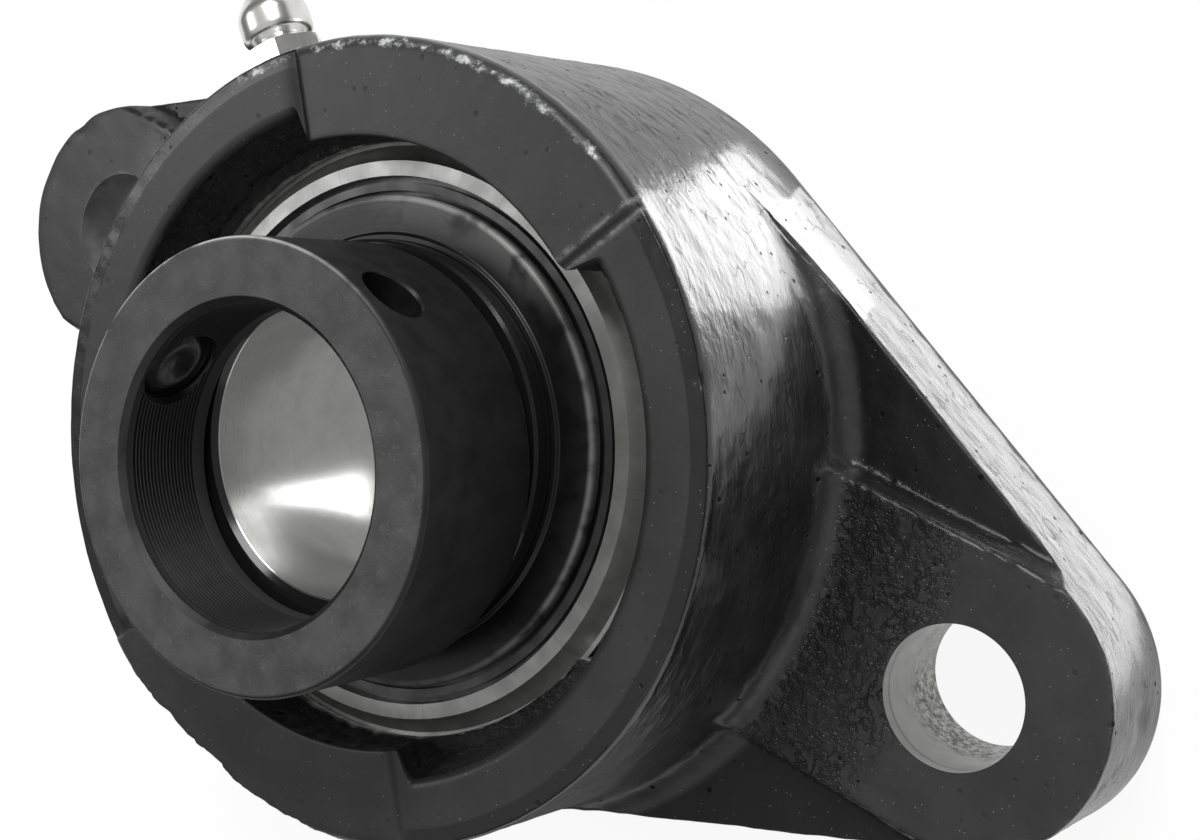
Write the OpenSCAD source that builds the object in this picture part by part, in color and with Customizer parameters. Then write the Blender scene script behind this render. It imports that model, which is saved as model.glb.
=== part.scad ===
// Two-bolt flange bearing: a cast housing that carries a self-aligning ball insert with an
// eccentric locking collar. All sizes are in millimetres. The origin is on the bearing axis at
// the mounting face, +Z points out of the front, and +X runs along the line of the bolt holes.

/* [Shaft and insert] */
// Diameter of the shaft, which is the inner ring's bore
shaft_d = 30; // [28:0.5:31]
// Spherical outside diameter of the outer ring
insert_d = 62; // [60.5:0.5:63]
// Width of the outer ring
outer_ring_w = 18; // [17:0.5:19]
// Length of the inner ring
inner_ring_l = 36.5; // [35:0.5:38]
// How far the inner ring reaches behind the middle of the balls
inner_ring_back = 18.3; // [17:0.1:19]
// Height of the insert's middle over the mounting face
seat_z = 20.5; // [20:0.1:21.5]

/* [Balls and cage] */
// Number of balls
ball_n = 9; // [7:1:9]
// Ball diameter
ball_d = 9.525; // [9:0.025:9.6]
// Depth of each ball groove below the ring's shoulder
groove_depth = 1.9; // [1.5:0.1:2.1]
// Groove radius as a share of the ball diameter
groove_ratio = 0.52; // [0.515:0.005:0.53]
// Running clearance between a ball and its groove
ball_gap = 0.04; // [0.02:0.01:0.08]
// Sheet thickness of the cage halves
cage_t = 0.8; // [0.6:0.1:1]
// Radial width of the cage ribbon
cage_w = 3.8; // [3:0.1:4]
// Clearance between a ball and its cage pocket
pocket_gap = 0.12; // [0.1:0.02:0.2]
// Shank diameter of the cage rivets
rivet_d = 1.2; // [1:0.1:1.4]

/* [Seals and flingers] */
// Width of the bright face of the outer ring
ring_face_w = 1.5; // [1:0.1:2]
// Bevel between that face and the ball-shaped outside
ring_bevel = 1.6; // [1:0.1:2]
// How deep the seal sits in the outer ring, counted from its face
seal_depth = 2.1; // [1.8:0.1:2.4]
// Sheet thickness of the seal case
seal_t = 0.8; // [0.6:0.1:1]
// Radial width of the rubber lip
lip_w = 1.9; // [1.5:0.1:2.2]
// Running clearance of the rubber lip on the inner ring
lip_gap = 0.06; // [0.04:0.01:0.1]
// Gap between a flinger's rim and the outer ring's face, seen from the front
flinger_rim_gap = 1.865; // [1.5:0.005:2.5]
// Thickness of the flingers
flinger_t = 1.3; // [1:0.1:1.5]
// Gap between a flinger and the seal behind it
flinger_gap = 0.35; // [0.3:0.05:0.5]

/* [Locking collar] */
// How much larger the collar's outside radius is than the shaft's
collar_wall = 6.25; // [6:0.05:7]
// Width of the collar
collar_w = 15.9; // [15:0.1:16.5]
// How far the collar stands out past the inner ring
collar_overhang = 11.9; // [11.5:0.1:12.2]
// Clearance of the shaft in the collar's bore, on the diameter
collar_bore_gap = 0.3; // [0.1:0.1:0.6]
// Offset of the round nose from the shaft axis, and of the counterbore from the collar's bore
eccentricity = 0.75; // [0.5:0.05:0.9]
// Radial step from the inner ring's outside down to the nose, at its shallowest
nose_step = 0.65; // [0.4:0.05:0.8]
// Running clearance between the nose and the counterbore
nose_gap = 0.1; // [0.06:0.01:0.1]
// Gap between the collar's back and the nose's shoulder
collar_stand_off = 1.7; // [1:0.1:2.2]
// Bevel on the collar's outer edges
collar_bevel = 0.5; // [0.3:0.1:0.8]
// Bevel on the edges of the bores
bore_bevel = 0.6; // [0.4:0.1:0.8]
// Thread size of the set screw
set_screw_d = 8; // [6:1:8]
// Length of the set screw
set_screw_l = 5.2; // [4.5:0.1:5.4]
// How far the set screw's tip is drawn back from the collar's bore
set_screw_back = 0.35; // [0.2:0.05:0.4]
// Width across flats of the set screw's socket
set_screw_key = 3; // [2.5:0.5:4]
// Distance of the screw and the drift hole from the collar's front
collar_hole_in = 4.9; // [4.7:0.1:5.5]
// Diameter of the blind hole for a drift
drift_d = 6.2; // [5:0.1:6.5]
// Depth of the blind hole
drift_depth = 3.8; // [3:0.1:4.2]

/* [Housing] */
// Distance between the bolt holes
bolt_spacing = 117; // [115:0.5:122]
// Diameter of the bolt holes
bolt_hole_d = 14; // [12:0.5:15]
// Radius of the ears at the mounting face
ear_r = 15.7; // [15.3:0.1:17]
// Radius of the boss at the mounting face
boss_r = 41; // [40.5:0.1:42]
// Height of the boss over the mounting face
boss_h = 35.5; // [35:0.1:37]
// Draft angle of the cast sides
draft = 2; // [1:0.5:3]
// Thickness of the flange beside the raised pads
web_t = 11.2; // [10:0.1:12]
// Thickness of the flange at the raised pads
pad_t = 13.8; // [13:0.1:15]
// Width of the raised pads
pad_w = 30; // [28:0.5:30]
// Sideways run of the pads' sloped sides
pad_slope = 1; // [0.5:0.1:1.5]
// Radius of the fillet where the boss meets the flange
root_r = 3; // [2:0.5:4]
// Radius of the boss's front rim
rim_r = 1.8; // [1:0.1:2]
// Clearance between the ball-shaped seat and the outer ring
seat_gap = 0.05; // [0.03:0.01:0.1]
// How far the seat stops short of the outer ring's faces
seat_step = 0.6; // [0.4:0.1:0.8]
// Depth of the lip behind the seat, below the ball shape
back_lip = 2.5; // [2:0.1:3.2]
// Height of the two raised arcs of the front face
arc_rise = 0.8; // [0.4:0.1:1]
// Half the angle that each low arc spans
low_arc_half = 57; // [52:1:60]
// Half the angle that each deep pocket beside the insert spans
pocket_half = 56; // [50:1:56]
// Width of the ledge at the bottom of the pockets
ledge_w = 1.4; // [1:0.1:1.6]
// How much wider the pockets are at the front than at the ledge
pocket_flare = 1.7; // [1:0.1:2]
// Clearance of the loading slots beside the turned insert
slot_gap = 0.3; // [0.2:0.05:0.5]

/* [Grease nipple] */
// Direction of the nipple, counted from the right-hand bolt hole
nipple_turn = 135; // [130:1:140]
// Height of the nipple's axis over the insert's middle
nipple_rise = 6; // [5:0.1:6.5]
// Thread size of the nipple
nipple_d = 6; // [5:1:6]
// Length of the threaded shank
nipple_shank_l = 5; // [4:0.1:5.2]
// Width across flats of the hexagon
nipple_key = 8; // [7:0.5:8]
// Height of the hexagon
nipple_hex_h = 4.2; // [3.5:0.1:4.5]
// Diameter of the round head
nipple_head_d = 7.6; // [7:0.1:7.8]
// Height of the whole nipple over its seat
nipple_h = 11.2; // [11:0.1:12]
// Diameter of the grease way
grease_d = 2; // [1.8:0.1:2.2]
// Diameter of the flat seat cut for the hexagon
nipple_seat_d = 10; // [9.5:0.5:11]

/* [Hidden] */
$fn = 96;

cut = 1;                                  // how far a cutter reaches past what it cuts
fit = 0.02;                               // clearance between pieces that stay together
seam = 0.02;                              // how far flat sides lie inside the round ends

// Insert
pitch_r = (shaft_d + insert_d) / 4;
inner_land_r = pitch_r - ball_d / 2 + groove_depth;
outer_land_r = pitch_r + ball_d / 2 - groove_depth;
groove_r = groove_ratio * ball_d;
ring_face_r = sqrt(pow(insert_d / 2, 2) - pow(outer_ring_w / 2, 2)) - ring_bevel;
seal_seat_r = ring_face_r - ring_face_w;
inner_back_z = seat_z - inner_ring_back;
inner_front_z = inner_back_z + inner_ring_l;
lube_z = seat_z + nipple_rise;
lube_w = 2.6;                             // width of the grease groove round the outer ring
lube_deep = 0.8;                          // depth of that groove
lube_hole_d = 1.8;                        // grease holes from the groove to the balls
lube_holes = 2;

// Cage
cage_pocket_r = ball_d / 2 + pocket_gap;
ball_step = 360 / ball_n;
first_ball = 10;                          // direction of the first ball
rivet_head_d = 2 * rivet_d;
rivet_head_h = 0.5;

// Seals, with heights counted from the middle of the insert
seal_z = outer_ring_w / 2 - seal_depth;
lip_r0 = inner_land_r + lip_gap;
case_r0 = lip_r0 + lip_w;
bead_in = 0.6;                            // gap between the ring and the raised bead of the case
bead_w = 0.85;
bead_h = 1.6;                             // height of the bead over the inside of the case
flinger_r = seal_seat_r - flinger_rim_gap;
flinger_z = seal_z + seal_t + flinger_gap + 0.45;
flinger_edge = 0.8;                       // rounding of the flinger's rim
flinger_bead = 0.5;                       // collar of the flinger where it grips the inner ring

// Locking collar. Pieces hang down on the nose, as they do with no shaft in place.
nose_r = inner_land_r - eccentricity - nose_step;
collar_d = shaft_d + 2 * collar_wall;
collar_front_z = inner_front_z + collar_overhang;
collar_back_z = collar_front_z - collar_w;
nose_z = collar_back_z - collar_stand_off;
nose_at = [0, -eccentricity, 0];
collar_at = [0, -2 * eccentricity, 0];
collar_bore_r = (shaft_d + collar_bore_gap) / 2;
counterbore_r = nose_r + nose_gap;
counterbore_end = 0.8;                    // room between the nose's end and the counterbore's
collar_hole_z = collar_front_z - collar_hole_in;
set_screw_turn = 167;
drift_turn = 72;
set_screw_tip = 1.2;                      // radius taken off at the screw's cupped tip
socket_deep = 3;

// Housing
slope = tan(draft);
bolt_x = bolt_spacing / 2;
seat_r = insert_d / 2 + seat_gap;
seat_half = outer_ring_w / 2 - seat_step;
throat_r = sqrt(pow(seat_r, 2) - pow(seat_half, 2));
back_bore_r = insert_d / 2 - back_lip;
ledge_z = seat_z + outer_ring_w / 2 - 0.2;
ledge_r = throat_r + ledge_w;
tangent_turn = acos((boss_r - ear_r) / bolt_x);
edge_bevel = 0.6;                         // bevels on the machined edges of the housing
far = boss_r + bolt_x;                    // reach of cutters that pass the whole housing

// Grease nipple, with heights counted from its seat on the housing
nipple_seat_r = boss_r - lube_z * slope - 0.6;
shank_r = nipple_d / 2 - fit;
neck_d = 4.6;
neck_h = 0.9;
tip_d = 3.6;
tip_h = 0.5;
head_z = nipple_h - nipple_head_d / 2 - tip_h;
mouth_d = 1.3;
mouth_z = nipple_h - 0.3;
check_d = 1.7;
check_gap = 0.45;                         // room for the check ball to move in
spring_z = 1 - nipple_shank_l;
spring_wire = 0.25;
spring_turns = 9;
spring_steps = 16;
spring_sides = 6;

// Colours
cast_paint = [0.13, 0.14, 0.14];
bright_steel = [0.72, 0.72, 0.70];
black_oxide = [0.16, 0.16, 0.17];
rubber_black = [0.06, 0.06, 0.06];
zinc = [0.80, 0.80, 0.78];
sheet_steel = [0.45, 0.46, 0.47];

// General shapes

// A ring about Z between two heights
module ring(r_out, r_in, z0, z1) {
    translate([0, 0, z0]) difference() {
        cylinder(r = r_out, h = z1 - z0);
        translate([0, 0, -cut]) cylinder(r = r_in, h = z1 - z0 + 2 * cut);
    }
}

// The bevel at a bore's mouth: a cone that opens towards +Z at height z
module bore_mouth(r, bevel, z) {
    translate([0, 0, z - bevel]) cylinder(r1 = r, r2 = r + bevel, h = bevel);
    translate([0, 0, z]) cylinder(r = r + bevel, h = cut);
}

// Cuts a bevel round the outside of a cylinder of radius r whose top is at height z
module outer_bevel(r, bevel, z) {
    difference() {
        translate([0, 0, z - bevel]) cylinder(r = r + cut, h = bevel + cut);
        translate([0, 0, z - bevel - cut])
            cylinder(r1 = r + cut, r2 = r - bevel - cut, h = bevel + 2 * cut);
    }
}

// A copy at the front or, turned over about the insert's middle, at the back
module on_side(front) {
    translate([0, 0, seat_z]) mirror([0, 0, front ? 0 : 1]) children();
}

// A wedge of the front, half an angle to each side of a direction
module wedge(turn, half, z0, h) {
    x = far * cos(half);
    y = far * sin(half);
    rotate([0, 0, turn]) translate([0, 0, z0])
        linear_extrude(h) polygon([[0, 0], [x, y], [far, y], [far, -y], [x, -y]]);
}

// Housing

// A drafted round of the flange about a point on the bolt line
module drafted_round(x, r, h) {
    translate([x, 0, 0]) cylinder(r1 = r, r2 = r - h * slope, h = h);
}

// Everything outside one straight side of the flange
module side_cut(turn) {
    rotate([0, 0, turn]) translate([boss_r - seam, -far, 0]) rotate([0, -draft, 0])
        translate([0, 0, -far]) cube([far, 2 * far, 2 * far]);
}

// The flat plate between the ears and the boss, with its four drafted sides
module flange_sides(h) {
    x = bolt_x + ear_r * cos(tangent_turn);
    y = (boss_r - web_t * slope) * sin(tangent_turn);
    difference() {
        translate([-x, -y, 0]) cube([2 * x, 2 * y, h]);
        for (side = [-1, 1]) {
            side_cut(side * tangent_turn);
            side_cut(180 + side * tangent_turn);
        }
    }
}

module flange() {
    flange_sides(web_t);
    for (side = [-1, 1]) drafted_round(side * bolt_x, ear_r, pad_t);
}

// The raised strips from the boss to the ears, with sloped sides
module pads() {
    low = pad_w / 2 + pad_slope;
    high = pad_w / 2 - pad_slope;
    for (side = [-1, 1])
        rotate([90, 0, side * 90])
            linear_extrude(bolt_x)
                polygon([[-low, 0], [low, 0], [low, web_t - 1], [high, pad_t],
                         [-high, pad_t], [-low, web_t - 1]]);
}

// The round boss, drafted, with a rounded rim
module boss() {
    h = boss_h + arc_rise;
    x = boss_r - (h - rim_r) * slope - rim_r / cos(draft);
    rotate_extrude() difference() {
        polygon([[0, 0], [boss_r, 0], [boss_r - h * slope, h], [0, h]]);
        translate([x, h - rim_r]) difference() {
            rotate(draft) square(2 * rim_r);
            circle(rim_r);
        }
    }
}

// The space on one side of a plane that leans by 45 degrees from a radial line of the front face
module past_step(turn, side) {
    rotate([0, 0, turn]) translate([0, 0, boss_h]) rotate([side * 45, 0, 0])
        translate([-far, -far, -2 * far]) cube(2 * far);
}

// Lowers the two side arcs of the front face, and leaves the raised arcs with sloped ends
module low_arcs_cut() {
    difference() {
        translate([0, 0, boss_h]) cylinder(r = far, h = arc_rise + cut);
        for (turn = [0, 180]) intersection() {
            past_step(turn + low_arc_half, 1);
            past_step(turn + 180 - low_arc_half, -1);
        }
    }
}

// The fillet at the foot of the boss, from the height z up
module root_fillet(z) {
    x = boss_r - (z + root_r) * slope - seam;
    rotate_extrude() difference() {
        translate([x - cut, z - cut]) square([root_r + cut, root_r + cut]);
        translate([x + root_r, z + root_r]) circle(root_r);
    }
}

module root_fillets() {
    intersection() {
        root_fillet(web_t);
        flange_sides(web_t + root_r);
    }
    intersection() {
        root_fillet(pad_t);
        translate([-bolt_x, -pad_w / 2 + pad_slope, 0])
            cube([2 * bolt_x, pad_w - 2 * pad_slope, pad_t + root_r]);
    }
}

// The deep pockets beside the insert, with a ledge at their foot
module pockets_cut() {
    flare = pocket_flare / (boss_h - ledge_z);
    intersection() {
        translate([0, 0, ledge_z])
            cylinder(r1 = ledge_r, r2 = ledge_r + (boss_h - ledge_z + cut) * flare,
                     h = boss_h - ledge_z + cut);
        for (turn = [0, 180]) wedge(turn, pocket_half, ledge_z - cut, boss_h);
    }
}

// The two slots that let the insert in when it is turned on its edge
module loading_slots_cut() {
    slot_w = outer_ring_w + 2 * slot_gap;
    intersection() {
        translate([0, 0, seat_z]) cylinder(r = insert_d / 2 + slot_gap, h = boss_h);
        translate([-far, -slot_w / 2, seat_z]) cube([2 * far, slot_w, boss_h]);
    }
}

// The ball-shaped seat with the throat in front of it and the bore behind it
module seat_cut() {
    translate([0, 0, seat_z]) sphere(r = seat_r, $fn = 180);
    translate([0, 0, seat_z]) cylinder(r = throat_r, h = boss_h);
    translate([0, 0, -cut]) cylinder(r = back_bore_r, h = seat_z);
    mirror([0, 0, 1]) bore_mouth(back_bore_r, edge_bevel, 0);
}

// Places children along the nipple's axis, with their z = 0 on the nipple's seat
module on_nipple() {
    rotate([0, 0, nipple_turn]) translate([nipple_seat_r, 0, lube_z]) rotate([0, 90, 0])
        children();
}

module nipple_hole_cut() {
    on_nipple() {
        cylinder(d = nipple_seat_d, h = far);
        translate([0, 0, -nipple_shank_l - 0.6]) cylinder(d = nipple_d, h = far);
        translate([0, 0, seat_r - nipple_seat_r - 2]) cylinder(d = grease_d, h = far);
    }
}

module housing() color(cast_paint) difference() {
    union() {
        flange();
        pads();
        boss();
        root_fillets();
    }
    low_arcs_cut();
    seat_cut();
    pockets_cut();
    loading_slots_cut();
    nipple_hole_cut();
    for (side = [-1, 1])
        translate([side * bolt_x, 0, -cut]) cylinder(d = bolt_hole_d, h = pad_t + 2 * cut);
}

// Insert

// The ball groove, as the ring that a circle of the groove's radius sweeps
module ball_groove(centre_r) {
    translate([0, 0, seat_z]) rotate_extrude() translate([centre_r, 0]) circle(groove_r);
}

module outer_ring() color(bright_steel) difference() {
    intersection() {
        translate([0, 0, seat_z]) sphere(r = insert_d / 2, $fn = 180);
        translate([0, 0, seat_z - outer_ring_w / 2]) cylinder(r = insert_d, h = outer_ring_w);
    }
    cylinder(r = outer_land_r, h = boss_h);
    ball_groove(pitch_r + ball_d / 2 + ball_gap - groove_r);
    for (front = [true, false]) on_side(front) {
        translate([0, 0, seal_z]) cylinder(r = seal_seat_r, h = outer_ring_w);
        outer_bevel(ring_face_r + ring_bevel, ring_bevel, outer_ring_w / 2);
    }
    ring(insert_d, sqrt(pow(insert_d / 2, 2) - pow(nipple_rise, 2)) - lube_deep,
         lube_z - lube_w / 2, lube_z + lube_w / 2);
    for (i = [1:lube_holes])
        rotate([0, 0, i * 360 / lube_holes]) translate([pitch_r, 0, lube_z]) rotate([0, 90, 0])
            cylinder(d = lube_hole_d, h = insert_d, $fn = 32);
}

module inner_ring() color(bright_steel) difference() {
    union() {
        translate([0, 0, inner_back_z]) cylinder(r = inner_land_r, h = nose_z - inner_back_z);
        translate(nose_at) translate([0, 0, inner_back_z])
            cylinder(r = nose_r, h = inner_front_z - inner_back_z);
    }
    cylinder(d = shaft_d, h = inner_front_z + cut);
    ball_groove(pitch_r - ball_d / 2 - ball_gap + groove_r);
    bore_mouth(shaft_d / 2, bore_bevel, inner_front_z);
    translate([0, 0, inner_back_z]) mirror([0, 0, 1]) bore_mouth(shaft_d / 2, bore_bevel, 0);
    translate([0, 0, inner_back_z]) mirror([0, 0, 1]) outer_bevel(inner_land_r, bore_bevel, 0);
    outer_bevel(inner_land_r, bore_bevel / 2, nose_z);
}

module ball(i) color(bright_steel)
    rotate([0, 0, first_ball + (i - 1) * ball_step]) translate([pitch_r, 0, seat_z])
        sphere(d = ball_d, $fn = 64);

// Places children at each ball, or half way between two balls
module at_balls(between) {
    for (i = [1:ball_n])
        rotate([0, 0, first_ball + (i - 1 + (between ? 0.5 : 0)) * ball_step])
            translate([pitch_r, 0, 0]) children();
}

// Half of the cage: a flat ribbon with a round shell over each ball
module cage_half(front) color(sheet_steel) on_side(front) difference() {
    intersection() {
        ring(pitch_r + cage_w / 2, pitch_r - cage_w / 2, 0, ball_d);
        union() {
            cylinder(r = pitch_r + cage_w, h = cage_t);
            at_balls(false) sphere(r = cage_pocket_r + cage_t, $fn = 64);
        }
    }
    at_balls(false) sphere(r = cage_pocket_r, $fn = 64);
    at_balls(true) translate([0, 0, -cut]) cylinder(d = rivet_d + 2 * fit, h = ball_d, $fn = 32);
}

// The rivets that hold the two halves of the cage together, each with a head at both ends
module cage_rivets() color(bright_steel) translate([0, 0, seat_z]) at_balls(true) {
    end = cage_t + rivet_head_h;
    translate([0, 0, -end]) cylinder(d = rivet_d, h = 2 * end, $fn = 32);
    for (side = [0, 1]) mirror([0, 0, side]) translate([0, 0, cage_t])
        cylinder(d1 = rivet_head_d, d2 = rivet_d, h = rivet_head_h, $fn = 32);
}

// Seals and flingers, drawn at the front and turned over for the back

// The pressed ring that holds the lip, with a raised bead next to the outer ring
module seal_case(front) color(black_oxide) on_side(front) {
    bead_r = seal_seat_r - bead_in;
    ring(seal_seat_r - fit, case_r0, seal_z, seal_z + seal_t);
    ring(bead_r, bead_r - bead_w, seal_z + seal_t / 2, seal_z + bead_h);
}

// The rubber lip bonded to the case, which rubs on the inner ring with its narrow edge
module seal_lip(front) color(rubber_black) on_side(front) translate([0, 0, seal_z])
    rotate_extrude() polygon([[case_r0, 0], [case_r0, seal_t], [lip_r0 + 0.4, seal_t * 0.9],
                              [lip_r0, seal_t * 0.7], [lip_r0, seal_t * 0.4],
                              [lip_r0 + 0.7, 0]]);

// A disc with a rounded rim, pressed on the inner ring
module flinger(front) color(black_oxide) on_side(front) {
    edge_x = flinger_r - flinger_edge;
    edge_z = flinger_z + flinger_t - flinger_edge;
    rotate_extrude() difference() {
        union() {
            translate([inner_land_r + fit, flinger_z])
                square([flinger_r - inner_land_r - fit, flinger_t]);
            translate([inner_land_r + fit, flinger_z])
                square([flinger_bead, flinger_t + 0.3]);
        }
        translate([edge_x, edge_z]) difference() {
            square(2 * flinger_edge);
            circle(flinger_edge);
        }
    }
}

// Locking collar

// Places children along a radial hole of the collar, with z = 0 on the collar's axis
module on_collar(turn) {
    translate(collar_at) translate([0, 0, collar_hole_z]) rotate([0, 0, turn])
        rotate([0, 90, 0]) children();
}

module locking_collar() color(black_oxide) difference() {
    translate(collar_at) translate([0, 0, collar_back_z])
        cylinder(d = collar_d, h = collar_w);
    translate(collar_at) {
        cylinder(r = collar_bore_r, h = collar_front_z + cut);
        bore_mouth(collar_bore_r, bore_bevel, collar_front_z);
        outer_bevel(collar_d / 2, collar_bevel, collar_front_z);
        translate([0, 0, collar_back_z]) mirror([0, 0, 1])
            outer_bevel(collar_d / 2, collar_bevel, 0);
    }
    translate(nose_at) cylinder(r = counterbore_r, h = inner_front_z + counterbore_end);
    on_collar(set_screw_turn) cylinder(d = set_screw_d, h = collar_d);
    on_collar(drift_turn) translate([0, 0, collar_d / 2 - drift_depth])
        cylinder(d = drift_d, h = collar_d);
}

// A socket set screw with a cupped tip, drawn back from the shaft
module set_screw() color(black_oxide) on_collar(set_screw_turn)
    translate([0, 0, collar_bore_r + set_screw_back]) difference() {
        cylinder(d = set_screw_d - 4 * fit, h = set_screw_l);
        difference() {
            translate([0, 0, -cut]) cylinder(d = 2 * set_screw_d, h = set_screw_tip + cut);
            cylinder(d1 = set_screw_d - 4 * fit - 2 * set_screw_tip,
                     d2 = set_screw_d - 4 * fit, h = set_screw_tip);
        }
        translate([0, 0, -seam])
            cylinder(d1 = set_screw_d / 2, d2 = 0, h = set_screw_tip);
        translate([0, 0, set_screw_l - socket_deep])
            cylinder(d = set_screw_key / cos(30), h = socket_deep + cut, $fn = 6);
    }

// Grease nipple, drawn upright and turned into its hole

module grease_nipple() color(zinc) on_nipple() difference() {
    union() {
        translate([0, 0, -nipple_shank_l]) cylinder(r = shank_r, h = nipple_shank_l + cut);
        cylinder(d = nipple_key / cos(30), h = nipple_hex_h, $fn = 6);
        cylinder(d = neck_d, h = head_z);
        translate([0, 0, nipple_hex_h]) cylinder(d1 = nipple_key - 1, d2 = neck_d, h = neck_h);
        intersection() {
            translate([0, 0, head_z]) sphere(d = nipple_head_d);
            cylinder(d = 2 * nipple_head_d, h = nipple_h - tip_h);
        }
        cylinder(d = tip_d, h = nipple_h);
    }
    translate([0, 0, spring_z]) cylinder(d = grease_d, h = mouth_z - spring_z, $fn = 48);
    translate([0, 0, -far]) cylinder(d = mouth_d, h = 2 * far, $fn = 48);
}

module nipple_check_ball() color(bright_steel) on_nipple()
    translate([0, 0, mouth_z - check_d / 2 - fit]) sphere(d = check_d, $fn = 48);

// The number of a point in the spring's surface
function spring_at(i, k) = i * spring_sides + k % spring_sides;

// The coil spring under the check ball, swept round as short straight pieces of wire
module nipple_spring() color(zinc) on_nipple() {
    low = spring_z + spring_wire / 2 + fit;
    high = mouth_z - check_d - check_gap - spring_wire / 2;
    radius = grease_d / 2 - 2 * fit - spring_wire / 2;
    steps = spring_turns * spring_steps;
    points = [for (i = [0:steps], k = [0:spring_sides - 1])
        let (turn = i * 360 / spring_steps, side = k * 360 / spring_sides,
             r = radius + spring_wire / 2 * cos(side))
        [r * cos(turn), r * sin(turn),
         low + (high - low) * i / steps + spring_wire / 2 * sin(side)]];
    walls = [for (i = [0:steps - 1], k = [0:spring_sides - 1], half = [0, 1])
        half == 0 ? [spring_at(i, k), spring_at(i, k + 1), spring_at(i + 1, k + 1)]
                  : [spring_at(i, k), spring_at(i + 1, k + 1), spring_at(i + 1, k)]];
    ends = [[for (k = [spring_sides - 1:-1:0]) k],
            [for (k = [0:spring_sides - 1]) spring_at(steps, k)]];
    polyhedron(points = points, faces = concat(walls, ends));
}

housing();
outer_ring();
inner_ring();
locking_collar();
set_screw();
seal_case(true);  // front_seal_case
seal_lip(true);  // front_seal_lip
flinger(true);  // front_flinger
seal_case(false);  // rear_seal_case
seal_lip(false);  // rear_seal_lip
flinger(false);  // rear_flinger
cage_half(true);  // cage_front_half
cage_half(false);  // cage_rear_half
cage_rivets();
grease_nipple();
nipple_check_ball();
nipple_spring();
for (i = [1:ball_n]) ball(i);
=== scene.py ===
"""A mounted bearing: a two-bolt flange housing with a ball bearing insert and an eccentric locking collar."""

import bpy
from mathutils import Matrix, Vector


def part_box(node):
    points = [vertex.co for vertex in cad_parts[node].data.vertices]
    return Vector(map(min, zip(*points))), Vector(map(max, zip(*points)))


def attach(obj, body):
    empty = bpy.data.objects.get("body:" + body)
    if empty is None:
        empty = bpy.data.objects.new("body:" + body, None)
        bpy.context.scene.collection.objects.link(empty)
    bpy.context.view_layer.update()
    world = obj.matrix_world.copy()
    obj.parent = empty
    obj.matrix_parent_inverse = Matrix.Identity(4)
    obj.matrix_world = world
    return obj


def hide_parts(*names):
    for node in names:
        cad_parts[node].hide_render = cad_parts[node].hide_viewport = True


bl_info = {
    "name": "Mounted bearing",
    "version": (1, 0, 0),
    "blender": (4, 5, 0),
    "location": "3D View > Sidebar > Bearing",
    "description": "Cast flange housing, bearing insert, locking collar and grease nipple with their finishes",
    "category": "Object",
}

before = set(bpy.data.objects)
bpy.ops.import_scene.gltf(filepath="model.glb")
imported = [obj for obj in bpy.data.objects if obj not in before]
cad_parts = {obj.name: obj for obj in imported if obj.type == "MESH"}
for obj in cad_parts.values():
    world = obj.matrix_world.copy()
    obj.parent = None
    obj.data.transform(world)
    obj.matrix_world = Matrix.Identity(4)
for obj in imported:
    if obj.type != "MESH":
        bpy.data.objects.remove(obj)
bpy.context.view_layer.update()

import math

import bpy
import numpy as np
from mathutils import Matrix

HOUSING_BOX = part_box("housing")
COLLAR_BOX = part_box("locking_collar")
FLINGER_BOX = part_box("front_flinger")


# Meshes. Lengths here are in millimetres, and surface() turns them into metres.

def surface(name, grid, materials, closed=True, masks=None, slot_of=0):
    """A mesh over a grid of turns x stations. Each cell becomes one face, the turns always close into a
    round, and the stations close too, or else run from one pole on the axis to another."""
    turns, stations = grid.shape[:2]
    if closed:
        points = grid.reshape(-1, 3)
        index = np.arange(turns * stations).reshape(turns, stations)
        a, b = index, np.roll(index, -1, 0)
        quads = np.stack([a, b, np.roll(b, -1, 1), np.roll(a, -1, 1)], -1).reshape(-1, 4)
        fans = np.zeros((0, 3), int)
    else:
        inner = grid[:, 1:-1]
        points = np.concatenate([inner.reshape(-1, 3), grid[:1, 0], grid[:1, -1]])
        index = np.arange(turns * (stations - 2)).reshape(turns, stations - 2)
        ahead = np.roll(index, -1, 0)
        quads = np.stack([index[:, :-1], ahead[:, :-1], ahead[:, 1:], index[:, 1:]], -1).reshape(-1, 4)
        first = np.full(turns, len(points) - 2)
        fans = np.concatenate([np.stack([first, ahead[:, 0], index[:, 0]], -1),
                               np.stack([index[:, -1], ahead[:, -1], first + 1], -1)])
    mesh = bpy.data.meshes.new(name)
    mesh.vertices.add(len(points))
    mesh.vertices.foreach_set("co", (points * 0.001).astype(np.float32).ravel())
    loops = np.concatenate([quads.ravel(), fans.ravel()]).astype(np.int32)
    mesh.loops.add(len(loops))
    mesh.loops.foreach_set("vertex_index", loops)
    starts = np.concatenate([np.arange(len(quads)) * 4, len(quads) * 4 + np.arange(len(fans)) * 3])
    mesh.polygons.add(len(starts))
    mesh.polygons.foreach_set("loop_start", starts.astype(np.int32))
    mesh.update(calc_edges=True)
    mesh.validate()
    for material in materials:
        mesh.materials.append(material)
    mesh.polygons.foreach_set("use_smooth", np.ones(len(mesh.polygons), bool))
    mesh.polygons.foreach_set("material_index", np.full(len(mesh.polygons), slot_of, np.int32))
    for mask, values in (masks or {}).items():
        flat = np.broadcast_to(values, grid.shape[:2]).astype(np.float32)
        flat = flat.ravel() if closed else np.concatenate([flat[:, 1:-1].ravel(), flat[0, :1], flat[0, -1:]])
        mesh.attributes.new(mask, "FLOAT", "POINT").data.foreach_set("value", flat)
    piece = bpy.data.objects.new(name, mesh)
    bpy.context.collection.objects.link(piece)
    return piece


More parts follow.
